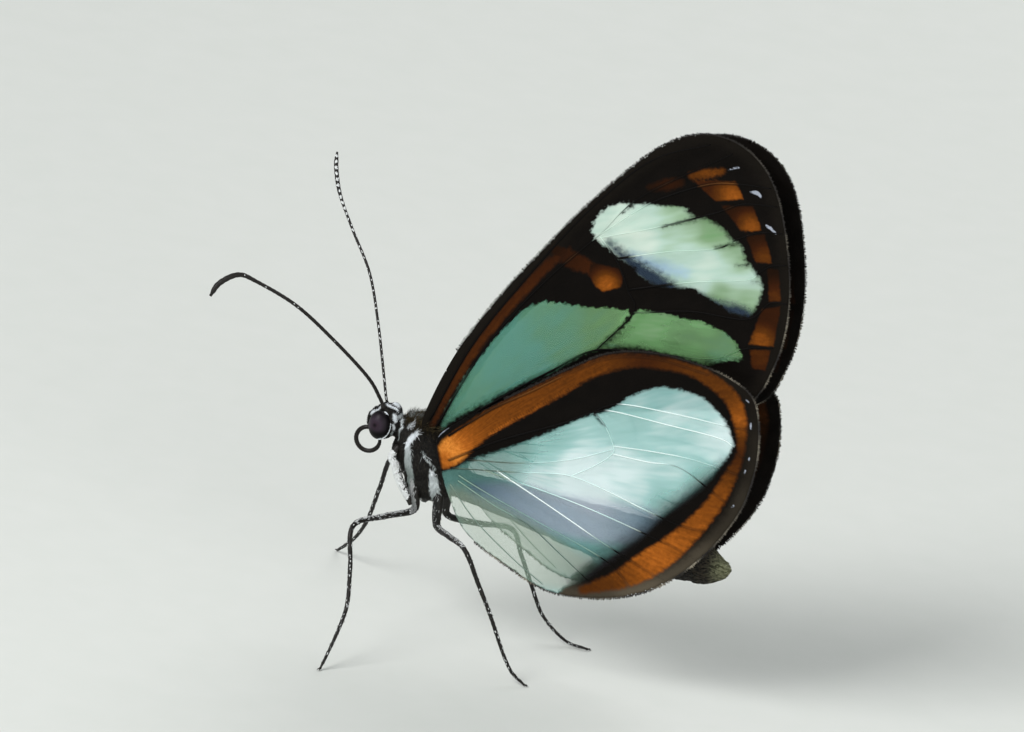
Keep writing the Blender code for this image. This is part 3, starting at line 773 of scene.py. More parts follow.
def wing_finish(name, plan, orange_share, white_share):
    look, tree, shader = finish_named(name, IOR=1.56, Specular_IOR_Level=0.04)
    fine = noise(tree, 1000 / (2 * SCALE_ROW))
    fan = add(tree, "ShaderNodeCombineXYZ", {
        "X": times(tree, read(tree, "turn"), STREAKS_ROUND),
        "Y": times(tree, read(tree, "reach"), STREAKS_ALONG)}).outputs[0]
    streak = noise(tree, 1.0, 3, fan)
    ragged = times(
        tree, combine(tree, "SUBTRACT", plus(tree, fine, streak), 1.0), plan["ragged"])

    def region(mark, low, high, share=1.0):
        """Where a mark lies, with an edge as ragged as the share says."""
        return threshold(
            tree, plus(tree, read(tree, mark), times(tree, ragged, share)), low, high)

    clear = threshold(tree, times(
        tree, read(tree, "crisp"), plus(tree, read(tree, "clear"), ragged)), -0.07, 0.09)
    covered = combine(tree, "SUBTRACT", 1.0, clear)
    vein = threshold(tree, read(tree, "vein"), 0.04, 0.16)
    shade = plan["vein_shade"]
    orange = times(
        tree, region("orange", -0.14, 0.16, 0.6), plus(tree, times(tree, vein, shade), 1 - shade),
        orange_share)
    glow = times(tree, read(tree, "glow"), plus(
        tree, times(tree, fine, 0.35), times(tree, streak, 0.5), 0.6))
    black = blend_colours(tree, noise(tree, 900, 3), "#060504", "#100c09")
    rim = times(tree, region("edge", 1.0, 0.2), white_share, read(tree, "rim"))
    scales = blend_colours(tree, rim, black, "#564e41")
    scales = blend_colours(tree, orange, scales, ramp_colours(tree, glow, ORANGE_TINTS))
    white = times(tree, region("white", -0.03, 0.04, 0.4), white_share)
    scales = blend_colours(tree, white, scales, "#9aa0ac")

    # Painted sheen: lighter streaks that fan out from the root.
    sheen = combine(tree, "SUBTRACT", noise(tree, 0.6, 1, fan), 0.5)
    # pale is partly the film's own tint and partly painted reflection, milky where more light comes
    # back.
    pale = plus(tree, read(tree, "pale"), times(tree, sheen, 0.3))
    film = ramp_colours(tree, pale, plan["tints"])
    for patch, (dark, light, bands) in plan["patches"].items():
        tone = blend_colours(tree, read(tree, f"{patch}_glow"), dark, light)
        film = blend_colours(tree, times(tree, region(patch, -0.4, 0.4), 0.8), film, tone)
    # A painted shade darkens the film along its bands and makes it more opaque there.
    painted_shade = region("shade_band", -plan["shade_band_soft"], plan["shade_band_soft"])
    film = blend_colours(tree, painted_shade, film, plan["shade_band_colour"])
    solid = combine(tree, "MAXIMUM", read(tree, "film"), times(tree, painted_shade, 0.85))
    rough = add(tree, "ShaderNodeMapRange", {"Value": clear, "To Min": 0.6, "To Max": 0.3})
    feed(tree, shader, Base_Color=blend_colours(tree, clear, scales, film),
         Alpha=plus(tree, covered, times(tree, clear, solid)), Roughness=rough.outputs[0])
    emboss(tree, shader, times(tree, fine, covered), 0.5, ROW_HEIGHT * MM)
    return look


for kind, plan in WINGS.items():
    looks = [
        wing_finish(f"{kind}_scales_and_film_below", plan, 1.0, 1.0),
        wing_finish(f"{kind}_scales_and_film_above", plan, 0.12, 0.0)]
    for word in SIDES:
        wing_sheet(kind, word, plan, looks)

# %% [markdown]
# A limb, a vein or a feeler is swept: a ring of points is extruded from place to place along
# a curve, turned to follow it and given each place's radius, and both ends are closed.


# %% The sweep
def sweep(shape, route, radii, sides):
    """Adds a closed tube along the route to the bmesh."""
    route = [Vector(spot) for spot in route]
    ahead = [(b - a).normalized() for a, b in zip(route, route[1:])]
    ahead = [ahead[0], *[(a + b).normalized() for a, b in zip(ahead, ahead[1:])], ahead[-1]]
    turn = Vector((0, 0, 1)).rotation_difference(ahead[0])
    ring = bmesh.ops.create_circle(shape, cap_ends=True, segments=sides, radius=1)["verts"]
    before = Matrix.Identity(4)
    edges = list({edge for vertex in ring for edge in vertex.link_edges})
    for i, (spot, radius) in enumerate(zip(route, radii)):
        if i:
            turn = ahead[i - 1].rotation_difference(ahead[i]) @ turn
            out = bmesh.ops.extrude_edge_only(shape, edges=edges)["geom"]
            ring = [part for part in out if isinstance(part, bmesh.types.BMVert)]
            edges = [part for part in out if isinstance(part, bmesh.types.BMEdge)]
        size = Matrix.Diagonal((radius, radius, radius, 1))
        now = Matrix.Translation(spot) @ turn.to_matrix().to_4x4() @ size
        bmesh.ops.transform(shape, matrix=now @ before.inverted(), verts=ring)
        before = now
    bmesh.ops.contextual_create(shape, geom=edges)


def settle_swept(shape, name, look, replaced):
    """Finishes a swept piece, all its faces turned outwards."""
    bmesh.ops.recalc_face_normals(shape, faces=shape.faces)
    return settle(shape, name, look, replaced)


# %% [markdown]
# The veins are the wing's hollow struts. Each is a thin tube along its curve, proud of the
# membrane's outer face. Between scales it is black, in the forewing's orange it is warm brown,
# and the hindwing's band covers it. Across a window it is thinner and takes the film's
# colour, apart from the stretches that the photo shows catching the light, which get a painted
# glint, near white, and a few that stay dark.

# %% Veins
VEIN_ROOT_RADIUS = 0.065
VEIN_END_RADIUS = 0.03
VEIN_HIDDEN_RADIUS = 0.004
VEIN_SIDES = 6
HIDDEN_BEYOND = 0.45


def plain_finish(name, dark, light, blotch, roughness, mask=None):
    """A finish whose colour drifts between two hex values, with a fine bump. Where a mask
    is named, the light value shows where that attribute is 1."""
    look, tree, shader = finish_named(
        name, Roughness=roughness, IOR=1.5, Specular_IOR_Level=0.25)
    cloud = noise(tree, 1000 / blotch, 3)
    share = read(tree, mask) if mask else cloud
    feed(tree, shader, Base_Color=blend_colours(tree, share, dark, light))
    emboss(tree, shader, cloud, 0.3, blotch * MM / 3)
    return look


def vein_finish(name, plan):
    """Black between scales, the film's own colour in a window, warm in the orange, and a painted
    glint, near white, where a vein catches the light.
    """
    look, tree, shader = finish_named(name, Roughness=0.55, IOR=1.5, Specular_IOR_Level=0.06)
    film = ramp_colours(tree, read(tree, "pale"), plan["vein_tints"])
    colour = "#0b0908"
    # The lit tone is a painted glint, near white.
    for mark, tone in (("clear", film), ("warm", "#7a4a1c"), ("lit", "#f2faf8")):
        colour = blend_colours(tree, read(tree, mark), colour, tone)
    feed(tree, shader, Base_Color=colour)
    return look


def stretch(share, spans, number):
    """The strength of a mark on the named stretch of a vein, 0 elsewhere."""
    start, end, strength = spans.get(number, (0, 0, 0))
    return strength * smooth_step(start - 0.04, start + 0.04, share) * (
        1 - smooth_step(end - 0.08, end + 0.08, share))


def wing_veins(kind, word, plan, look):
    outline = flowing(plan["outline"], 8, True)
    shape = bmesh.new()
    tones = {"clear": [], "lit": [], "warm": [], "pale": []}
    for number, vein in enumerate(plan["veins"]):
        line = flowing(vein, 10)
        share = np.linspace(0, 1, len(line))
        inside = inset(line, outline)[0] > 0.05
        line, share = line[inside], share[inside]
        marks = wing_marks(line, plan, outline)
        # Inside a band of painted shade a vein keeps the scales' black.
        clear = smooth_step(-0.05, 0.15, marks["clear"]) * (
            1 - smooth_step(-0.3, 0.2, marks["shade_band"]))
        # Strength of the painted glint on the stretches that catch the light.
        bright = stretch(share, plan["glinting_veins"], number) * clear
        dark = stretch(share, plan["dark_veins"], number)
        radii = VEIN_ROOT_RADIUS + (VEIN_END_RADIUS - VEIN_ROOT_RADIUS) * share
        radii += clear * (plan["vein_width"] + 0.006 * bright - radii)
        covered = np.maximum.accumulate(
            smooth_step(-0.15, 0.05, marks["orange"]) * (share > HIDDEN_BEYOND))
        radii += covered * (1 - plan["vein_in_orange"]) * (VEIN_HIDDEN_RADIUS - radii)
        sweep(shape, upright(line, plan, SIDES[word]), radii, VEIN_SIDES)
        tones["clear"].append(clear * (1 - dark))
        tones["lit"].append(bright)
        tones["warm"].append(smooth_step(0, 0.15, marks["orange"]) * np.clip(
            marks["glow"] * 1.3, 0, 0.9))
        tones["pale"].append(marks["pale"])
    piece = settle_swept(shape, f"{kind}_veins_{word}", look, ())
    joined = {name: np.concatenate(parts) for name, parts in tones.items()}
    store_marks(piece.data, joined, VEIN_SIDES)


for kind, plan in WINGS.items():
    look = vein_finish(f"{kind}_vein_chitin", plan)
    for word in SIDES:
        wing_veins(kind, word, plan, look)

# %% [markdown]
# The body is one skin: egg shapes for the thorax, the collar, the skull and the palps, and
# the ringed abdomen, joined and remeshed with small voxels, so that no seam shows. Working
# in millimetres lets the remesh use voxels under a tenth of one.

# %% The body's forms
EGGS = [
    ((2.15, 0, 10.55), (2.0, 1.45, 2.1)),
    ((2.3, 0, 9.1), (1.5, 1.15, 1.3)),
    ((1.75, 0, 9.0), (0.95, 0.95, 1.2)),
    ((0.85, 0, 11.35), (0.72, 0.85, 1.02)),
    ((0.35, 0, 10.25), (0.5, 0.62, 0.75)),
    ((0.05, 0, 11.45), (0.75, 0.45, 0.64)),
    ((-0.8, 0, 11.65), (0.7, 0.5, 0.92)),
    ((-0.4, 0, 11.75), (0.48, 0.74, 0.9)),
    ((-0.7, 0.45, 11.5), (0.62, 0.34, 0.8)),
    ((-0.7, -0.45, 11.5), (0.62, 0.34, 0.8)),
    ((-1.42, 0.34, 11.6), (0.3, 0.22, 0.55)),
    ((-1.42, -0.34, 11.6), (0.3, 0.22, 0.55)),
    ((3.6, 0, 9.2), (1.0, 0.8, 0.85)),
]
ABDOMEN = [
    (3.2, 9.1, 0.55), (4.6, 8.95, 0.8), (6.6, 8.8, 0.95), (9.4, 8.5, 1.2), (12.0, 8.3, 1.4),
    (14.2, 8.2, 1.43), (16.2, 8.15, 1.36), (17.4, 8.08, 1.27), (18.05, 8.0, 1.13),
    (18.5, 7.9, 0.9), (18.95, 7.85, 0.63), (19.3, 7.88, 0.45), (19.55, 7.95, 0.3),
]
ABDOMEN_FLATTEN = 0.86
ABDOMEN_RINGS = 8
VOXEL = 0.075


def abdomen_form(shape):
    """A lengthened egg whose radius follows the abdomen, with a step at each ring's edge."""
    line = flowing(ABDOMEN, 8)
    made = bmesh.ops.create_uvsphere(shape, u_segments=48, v_segments=160, radius=1)["verts"]
    first, last = line[0, 0], line[-1, 0]
    for vertex in made:
        across, deep, along = vertex.co
        share = 1 - math.acos(max(-1, min(1, along))) / math.pi
        x = first + (last - first) * share
        z, radius = (np.interp(x, line[:, 0], line[:, i]) for i in (1, 2))
        ring = math.hypot(across, deep) or 1
        part = ABDOMEN_RINGS * share % 1
        radius *= 1 - 0.06 * part ** 4 + 0.02 * math.sin(math.pi * part)
        radius *= min(1, math.sqrt(max(0, 1 - share) * 60), math.sqrt(share * 40))
        vertex.co = (x, deep / ring * radius * ABDOMEN_FLATTEN, z + across / ring * radius)


def body_skin():
    shape = bmesh.new()
    for centre, radii in EGGS:
        made = bmesh.ops.create_uvsphere(shape, u_segments=32, v_segments=24, radius=1)["verts"]
        bmesh.ops.scale(shape, vec=radii, verts=made)
        bmesh.ops.translate(shape, vec=centre, verts=made)
    abdomen_form(shape)
    bmesh.ops.recalc_face_normals(shape, faces=shape.faces)
    forms = new_object("forms", mesh_of(shape, "forms"))
    fuse = forms.modifiers.new("fuse", "REMESH")
    fuse.mode = "VOXEL"
    fuse.voxel_size = VOXEL
    bpy.context.view_layer.update()
    ready = forms.evaluated_get(bpy.context.evaluated_depsgraph_get())
    shape = bmesh.new()
    shape.from_mesh(bpy.data.meshes.new_from_object(ready))
    bpy.data.objects.remove(forms)
    for turn in range(3):
        bmesh.ops.smooth_vert(
            shape, verts=shape.verts, factor=0.5, use_axis_x=True, use_axis_y=True,
            use_axis_z=True)
    return shape


# %% [markdown]
# The same marks dress the skin and the coat. White stripes run down the thorax's side and
# over the coxae, painted brighter at the top and shaded grey green lower down, white rims and
# dashes frame the eye, olive brown fuzz covers the back, and a painted blue sheen lies on the
# abdomen's flanks.
# They are lines laid on the skin and measured with the ribbon function, on both sides alike.

# %% Body marks
# Each row: a place, the stripe's half width and its shine, painted light: brightest white at the
# top, with a painted shade turning it grey green lower down.
STRIPES = [
    [(1.3, 1.03, 11.72, 0.13, 1), (1.13, 1.05, 11.52, 0.17, 1), (0.98, 1.08, 11.23, 0.18, 1),
     (0.94, 1.12, 10.93, 0.19, 0.95), (1.02, 1.19, 10.6, 0.23, 0.5), (1.09, 1.18, 10.05, 0.27, 0.42),
     (1.18, 1.07, 9.57, 0.28, 0.3), (1.28, 0.84, 9.0, 0.28, 0.22), (1.47, 0.81, 8.52, 0.25, 0.24)],
    [(2.5, 1.35, 9.9, 0.12, 1), (2.62, 1.19, 9.44, 0.24, 0.7), (2.75, 1.07, 8.82, 0.27, 0.6),
     (2.78, 0.75, 8.2, 0.22, 0.4)],
    [(1.87, 1.41, 10.94, 0.04, 0.5), (2.1, 1.45, 10.64, 0.06, 0.8), (2.45, 1.43, 10.36, 0.04, 0.5),
     (2.72, 1.36, 10.12, 0.05, 0.5)],
    [(0.78, 0.66, 11.87, 0.1, 1), (0.96, 0.7, 11.93, 0.11, 1)],
    [(0.02, 0.1, 12.15, 0.09, 0.7), (-0.02, 0.39, 12.04, 0.1, 0.8)],
    [(0.16, 0.34, 11.89, 0.09, 0.85), (0.28, 0.39, 11.73, 0.13, 0.85),
     (0.4, 0.52, 11.69, 0.12, 0.85)],
    [(0.2, 0.35, 11.4, 0.08, 0.5), (0.15, 0.4, 11.1, 0.06, 0.4), (0.1, 0.45, 10.8, 0.05, 0.4)],
    [(-0.24, 0.6, 12.18, 0.1, 1), (-0.17, 0.63, 12.03, 0.13, 1), (-0.11, 0.61, 11.85, 0.11, 1)],
    [(-0.18, 0.69, 11.63, 0.07, 0.9), (-0.13, 0.61, 11.38, 0.08, 0.8)],
    [(-0.2, 0.62, 11.16, 0.06, 0.4), (-0.2, 0.6, 10.95, 0.05, 0.3)],
    [(-0.87, 0.14, 12.53, 0.06, 1), (-0.52, 0.3, 12.46, 0.07, 1), (-0.15, 0.31, 12.35, 0.06, 1)],
    [(-0.48, 0.08, 12.66, 0.11, 1), (-0.22, 0.1, 12.6, 0.14, 1)],
    [(-1.55, 0.5, 11.9, 0.06, 1), (-1.39, 0.38, 12.14, 0.07, 1), (-1.15, 0.35, 12.45, 0.06, 1)],
    [(0.35, 0.15, 12.35, 0.05, 0.6), (0.8, 0.3, 12.4, 0.04, 0.5), (1.2, 0.5, 12.4, 0.03, 0.5)],
]
shape = body_skin()
skin_points = np.array([vertex.co for vertex in shape.verts])
skin_tree = BVHTree.FromBMesh(shape)
stripes = []
for stripe in STRIPES:
    line = flowing(stripe, 6)
    line[:, :3] = [skin_tree.find_nearest(Vector(spot))[0] for spot in line[:, :3]]
    stripes.append(line)


def body_marks(points):
    """White, brown and painted blue sheen shares at each point of the body, given in millimetres,
    and the painted shine along the white stripes.
    """
    places = one_sided(points)
    found = [ribbon(places, line) for line in stripes]
    depths = np.array([depth for depth, shine in found])
    best = depths.argmax(0), np.arange(len(places))
    white, shine = depths[best], np.array([shine for depth, shine in found])[best]
    x, y, z = places.T
    back = smooth_step(11.7, 12.2, z) * smooth_step(0.0, 0.5, x) * (1 - smooth_step(2.6, 4.2, x))
    # The abdomen's flanks get a painted blue sheen near the thorax, fading towards the tail.
    flank = smooth_step(4.0, 5.5, x) * (1 - smooth_step(9.0, 15.0, x))
    tail = smooth_step(16.5, 18.5, x)
    rim = smooth_step(18.2, 19.2, x) * (0.4 + 0.6 * smooth_step(7.3, 8.0, z))
    return {
        "white": smooth_step(-0.035, 0.035, white),
        "shine": shine,
        "brown": np.clip(back + 0.2 * tail, 0, 1),
        "blue_sheen": flank * smooth_step(0.2, 0.8, y),
        "rim": rim,
    }


# The blue pair is the painted sheen on the abdomen's flanks.
BODY_TINTS = {"brown": ("#231b0f", "#63573a"), "blue_sheen": ("#2c3848", "#566984"),
              "rim": ("#5a5c42", "#a3a582")}


def body_finish(name, roughness, blotch, tone=None):
    """Dark cuticle or scales with the body's marks; each hair's own tone, if there is one,
    takes the place of the drift in colour."""
    look, tree, shader = finish_named(
        name, Roughness=roughness, IOR=1.5, Specular_IOR_Level=0.2)
    cloud = noise(tree, 1000 / blotch, 3)
    drift = read(tree, tone) if tone else cloud
    colour = blend_colours(tree, drift, "#090807", "#2e2a24")
    for mark, (dark, light) in BODY_TINTS.items():
        tint = blend_colours(tree, drift, dark, light)
        colour = blend_colours(tree, read(tree, mark), colour, tint)
    # Painted light on the white stripes: near white where shine is 1, a shaded grey green where it
    # is 0.
    bright = blend_colours(tree, read(tree, "shine"), "#5c7064", "#eef3f6")
    white = blend_colours(tree, times(tree, drift, 0.35), bright, "#8b969b")
    feed(tree, shader, Base_Color=blend_colours(tree, read(tree, "white"), colour, white))
    emboss(tree, shader, cloud, 0.6, blotch * MM / 3)
    return look


skin_look = body_finish("body_cuticle_with_scales", 0.65, 0.12)
coat_look = body_finish("body_hairs_and_scales", 0.55, 0.3, "tone")
skin = settle(shape, "body_skin", skin_look, ["head", "thorax", "abdomen"])
store_marks(skin.data, body_marks(skin_points))

# %% [markdown]
# Hairs and scales are closed slivers of ten triangles: a root ring of three corners, a
# middle ring and a point. They are worked out in arrays, thousands at a time. Each sliver
# lies along the coat's flow and lifts a little. Its patch of the map OFBake sits at its
# root's place on an unwrap of the skin, an angle round the body and a length along it.


# %% Slivers
PATCH = 0.003
SLIVER = [(3, 4, 1, 0), (4, 5, 2, 1), (5, 3, 0, 2), (6, 4, 3), (6, 5, 4), (6, 3, 5), (1, 2, 0)]
CORNERS = 7


def unwrap(points):
    """An angle round the lengthwise axis and a length along it, each from 0 to 1."""
    low, high = points.min(0), points.max(0)
    turn = np.arctan2(points[:, 1], points[:, 2] - (low[2] + high[2]) / 2) / (2 * math.pi) + 0.5
    along = (points[:, 0] - low[0]) / (high[0] - low[0])
    return np.column_stack([turn, along]) * 0.98 + 0.01


def slivers(name, look, roots, ups, flows, sizes, lift, marks):
    """Joined hairs. sizes holds each one's length, width and thickness in millimetres."""
    count = len(roots)
    flows = flows - (flows * ups).sum(1)[:, None] * ups
    flows /= lengths(flows)[:, None] + 1e-9
    aside = np.cross(flows, ups)
    length, width, thick = (column[:, None] for column in sizes.T)
    lift = np.broadcast_to(lift, count)[:, None]
    base = roots - ups * thick
    middle = roots + flows * length * 0.5 + ups * length * lift * 0.6
    tip = roots + flows * length + ups * length * lift
    corners = np.stack([
        base - aside * width * 0.35, base + aside * width * 0.35, base + ups * thick * 1.6,
        middle - aside * width * 0.5, middle + aside * width * 0.5, middle + ups * thick,
        tip], axis=1).reshape(-1, 3)
    faces = []
    for face in SLIVER:
        faces += (np.array(face)[None, :] + CORNERS * np.arange(count)[:, None]).tolist()
    mesh = bpy.data.meshes.new(name)
    mesh.from_pydata(corners.tolist(), [], faces)
    patch = unwrap(roots)
    offsets = PATCH * np.array([
        (-0.4, -0.5), (0.4, -0.5), (0, -0.4), (-0.5, 0), (0.5, 0), (0, 0.1), (0, 0.5)])
    spots = (patch[:, None, :] + offsets[None, :, :]).reshape(-1, 2)
    loops = np.zeros(len(mesh.loops), np.int32)
    mesh.loops.foreach_get("vertex_index", loops)
    layer = mesh.uv_layers.new(name="OFBake")
    layer.uv.foreach_set("vector", spots[loops].astype(np.float32).ravel())
    store_marks(mesh, marks, CORNERS)
    settle_mesh(mesh, name, look)
    mesh.shade_flat()


def scatter(points, triangles, normals, density):
    """Random places on a mesh, so many to a square millimetre, with their normals."""
    a, b, c = (points[triangles[:, i]] for i in range(3))
    area = lengths(np.cross(b - a, c - a)) / 2
    count = int(area.sum() * density)
    chosen = random.choice(len(triangles), count, p=area / area.sum())
    u, v = random.random((2, count))
    folded = u + v > 1
    u[folded], v[folded] = 1 - u[folded], 1 - v[folded]
    weights = np.column_stack([1 - u - v, u, v])
    places = sum(points[triangles[chosen, i]] * weights[:, i:i + 1] for i in range(3))
    ups = sum(normals[triangles[chosen, i]] * weights[:, i:i + 1] for i in range(3))
    return places, unit(ups)


def varied_sizes(count, length, width, shortest, flatness):
    """Lengths and widths that vary a little, and a thickness that is a share of the width."""
    return np.column_stack([
        length * random.uniform(shortest, 1.2, count), width * random.uniform(0.7, 1.2, count),
        np.full(count, width * flatness)])


# %% [markdown]
# The eye is a large smooth globe with thousands of facets two hundredths of a millimetre
# across; they are drawn a little coarser, as a fine bump, so that they show at all. It is
# purple grey with a dark spot in its middle and a black lower part.

# %% Eyes
EYE = {"centre": (-0.9, 0.71, 11.5), "radii": (0.61, 0.54, 0.81)}
EYE_FACET = 0.04
FACET_HEIGHT = 0.01
DARK_BELOW = 0.45


def eye_finish(word, side):
    look, tree, shader = finish_named(
        f"compound_eye_{word}", Roughness=0.35, IOR=1.45, Specular_IOR_Level=0.1)
    centre = TO_MODEL @ Vector((EYE["centre"][0], side * EYE["centre"][1], EYE["centre"][2]))
    spot = add(tree, "ShaderNodeTexCoord").outputs["Object"]
    local = add(
        tree, "ShaderNodeVectorMath", {0: spot, 1: centre}, operation="SUBTRACT").outputs[0]
    pupil = Vector((-0.14, side * 0.5, 0.1)) * MM
    near = add(tree, "ShaderNodeVectorMath", {0: local, 1: pupil},
               operation="DISTANCE").outputs["Value"]
    ringed = ramp_colours(tree, times(tree, near, 1000), {
        0.04: "#130d12", 0.16: "#30252e", 0.34: "#352c35", 0.52: "#272127", 0.72: "#141113",
        0.95: "#080607"})
    height = add(tree, "ShaderNodeSeparateXYZ", {0: local}).outputs["Z"]
    low = threshold(tree, height, 0.0, -DARK_BELOW * MM)
    feed(tree, shader, Base_Color=blend_colours(tree, low, ringed, "#030303"))
    facets = add(tree, "ShaderNodeTexVoronoi", {"Vector": spot, "Scale": 1000 / EYE_FACET})
    emboss(tree, shader, facets.outputs["Distance"], 0.25, FACET_HEIGHT * MM, invert=True)
    return look


for word, side in SIDES.items():
    shape = bmesh.new()
    bmesh.ops.create_uvsphere(shape, u_segments=64, v_segments=40, radius=1)
    bmesh.ops.scale(shape, vec=EYE["radii"], verts=shape.verts)
    x, y, z = EYE["centre"]
    bmesh.ops.translate(shape, vec=(x, side * y, z), verts=shape.verts)
    settle(shape, f"eye_globe_{word}", eye_finish(word, side), [f"eye_{word}"])

# %% [markdown]
# The feelers are jointed rods, thickened to a slim club at the end. Each joint is a slight
# swelling along the sweep. The left one bends over and down, the right one stands up.

# %% Antennae
ANTENNAE = {
    "left": [
        (-0.9, -0.3, 12.3), (-1.2, -0.4, 12.9), (-1.9, -1.1, 14.2), (-3.7, -2.5, 16.3),
        (-5.7, -3.8, 18.2), (-7.8, -5.1, 19.5), (-8.7, -5.6, 19.8), (-9.5, -6.2, 19.3),
        (-9.8, -6.6, 18.6)],
    "right": [
        (-0.85, 0.25, 12.3), (-1.08, 0.38, 12.8), (-1.55, 0.9, 13.9), (-2.6, 2.1, 16.2),
        (-3.8, 3.3, 18.4), (-5.4, 4.4, 20.2), (-6.6, 5.2, 21.7), (-7.2, 5.8, 22.9),
        (-7.4, 6.2, 23.7)],
}
JOINT = 0.33
SHAFT = {"left": 0.1, "right": 0.075}
CLUB = {"left": 0.15, "right": 0.12}


def even_route(points, step):
    """Places an even step apart along the smooth curve through the points."""
    curve = flowing(points, 24)
    run = np.concatenate([[0], np.cumsum(lengths(np.diff(curve[:, :3], axis=0)))])
    wanted = np.linspace(0, run[-1], max(2, int(run[-1] / step) + 1))
    return np.column_stack([np.interp(wanted, run, column) for column in curve.T]), wanted


horn = plain_finish("antenna_chitin", "#0c0a09", "#24201c", 0.15, 0.5)
feeler_routes = {}
for word in SIDES:
    route, run = even_route(ANTENNAE[word], JOINT / 4)
    end = run[-1]
    club = smooth_step(end - 3.6, end - 1.2, run) * (1 - 0.75 * smooth_step(end - 0.6, end, run))
    ripple = 0.1 * np.abs(np.sin(math.pi * run / JOINT)) - 0.05
    radii = (SHAFT[word] + (CLUB[word] - SHAFT[word]) * club) * (1 + ripple)
    radii *= 1 - 0.35 * smooth_step(end - 0.35, end, run)
    radii[0:5] *= np.linspace(1.6, 1.0, 5)
    shape = bmesh.new()
    sweep(shape, route, radii, 10)
    settle_swept(shape, f"feeler_{word}", horn, [f"antenna_{word}"])
    feeler_routes[word] = (route, radii)

# %% [markdown]
# The proboscis is a feeding tube, carried rolled up under the face like a watch spring.

# %% Proboscis
COIL = {"centre": (-1.6, 0, 10.28), "radius": 0.69, "tube": 0.125, "start": 62, "turn": 318}
COIL_STEPS = 90
steps = np.arange(COIL_STEPS)
turns = np.radians(COIL["start"] + np.linspace(0, COIL["turn"], COIL_STEPS))
reach = COIL["radius"] * (1 - 0.04 * np.linspace(0, 1, COIL_STEPS))
route = np.column_stack([reach * np.cos(turns), 0 * turns, reach * np.sin(turns)])
route += COIL["centre"]
radii = COIL["tube"] * (1 + 0.04 * np.sin(steps * 1.9)) * (1 - 0.3 * smooth_step(70, 89, steps))
shape = bmesh.new()
sweep(shape, route, radii, 12)
tongue = plain_finish("proboscis_chitin", "#0b0908", "#1d1712", 0.1, 0.35)
settle_swept(shape, "feeding_tube", tongue, ["proboscis"])

# %% [markdown]
# A walking leg has a stout coxa, a femur that comes down and out, a long tibia and a foot of
# five short joints that ends in two claws. The front pair is small, as in all brush-footed
# butterflies, and is held against the chest. Each leg is one sweep whose radius follows its
# parts, with spines along the tibia.

# %% Legs
LEGS = {
    "midleg_left": [
        (1.5, -0.6, 9.2), (1.65, -0.85, 8.2), (1.78, -1.0, 7.3), (0.7, -2.7, 7.2),
        (-0.5, -4.6, 6.93), (0.0, -5.8, 5.1), (0.41, -6.8, 3.25), (0.3, -7.8, 1.7),
        (0.0, -8.85, 0.09)],
    "midleg_right": [
        (1.5, 0.6, 9.2), (1.65, 0.85, 8.2), (1.78, 1.0, 7.3), (0.3, 2.6, 7.7),
        (-1.19, 4.2, 7.97), (-1.85, 5.1, 5.7), (-2.47, 6.0, 3.42), (-3.39, 7.3, 1.62),
        (-4.64, 8.85, 0.09)],
    "hindleg_left": [
        (2.9, -0.5, 8.9), (3.05, -0.8, 7.7), (3.24, -1.0, 6.7), (4.3, -2.4, 6.85),
        (5.72, -4.0, 6.91), (6.75, -4.0, 5.2), (7.67, -4.0, 3.62), (9.09, -3.9, 0.95),
        (10.13, -3.86, 0.09)],
    "hindleg_right": [
        (2.9, 0.5, 8.9), (3.05, 0.8, 7.7), (3.24, 1.0, 6.7), (4.8, 2.0, 6.3),
        (6.39, 3.0, 6.06), (7.1, 3.1, 4.7), (7.9, 3.2, 3.1), (8.8, 3.3, 1.45),
        (10.2, 3.5, 0.3), (11.5, 3.58, 0.09)],
}
FORELEG = [
    (0.3, 0.55, 10.5, 0.2), (0.11, 0.95, 9.99, 0.22), (0.43, 1.15, 9.67, 0.24),
    (0.86, 1.35, 8.9, 0.22), (1.49, 1.5, 8.11, 0.17), (1.7, 1.55, 7.75, 0.1)]
LEG_RADII = [0.3, 0.28, 0.19, 0.16, 0.13, 0.115, 0.105, 0.085, 0.07]
FOOT_JOINT = 0.52
FIRST_SPINE = 30

leg_look = plain_finish("leg_chitin", "#0e0c0b", "#2b2722", 0.12, 0.45)
leg_routes = {}


def claws(shape, tip, ahead):
    """Two hooks at the foot's end."""
    ahead = Vector((ahead[0], ahead[1], 0)).normalized()
    aside = ahead.cross(Vector((0, 0, 1)))
    for side in (-1, 1):
        route = [
            tip, tip + ahead * 0.1 + aside * side * 0.05 + Vector((0, 0, 0.03)),
            tip + ahead * 0.19 + aside * side * 0.07 + Vector((0, 0, -0.03))]
        sweep(shape, route, [0.045, 0.032, 0.012], 6)


for name, joints in LEGS.items():
    radii = [*LEG_RADII, LEG_RADII[-1]][:len(joints)]
    table = [(*joint, radius) for joint, radius in zip(joints, radii)]
    curve, run = even_route(table, 0.12)
    curve[:, 2] = np.maximum(curve[:, 2], curve[:, 3])
    shape = bmesh.new()
    foot = smooth_step(run[-1] - 2.6, run[-1] - 2.4, run)
    swell = 1 + 0.16 * foot * np.sin(2 * math.pi * run / FOOT_JOINT)
    sweep(shape, curve[:, :3], curve[:, 3] * swell, 10)
    claws(shape, Vector(curve[-1, :3]), curve[-1, :3] - curve[-6, :3])
    for i in range(FIRST_SPINE, len(curve) - 4, 3):
        angle = random.random() * 2 * math.pi
        ahead = Vector(curve[i + 1, :3] - curve[i, :3]).normalized()
        out = ahead.orthogonal().normalized()
        out.rotate(Matrix.Rotation(angle, 3, ahead))
        start = Vector(curve[i, :3]) + out * curve[i, 3] * 0.6
        if start.z > 0.4:
            reach = 0.16 + 0.06 * random.random()
            sweep(shape, [start, start + (ahead * 0.8 + out * 0.5) * reach], [0.022, 0.006], 4)
    settle_swept(shape, f"jointed_{name}", leg_look, [name])
    leg_routes[name] = curve
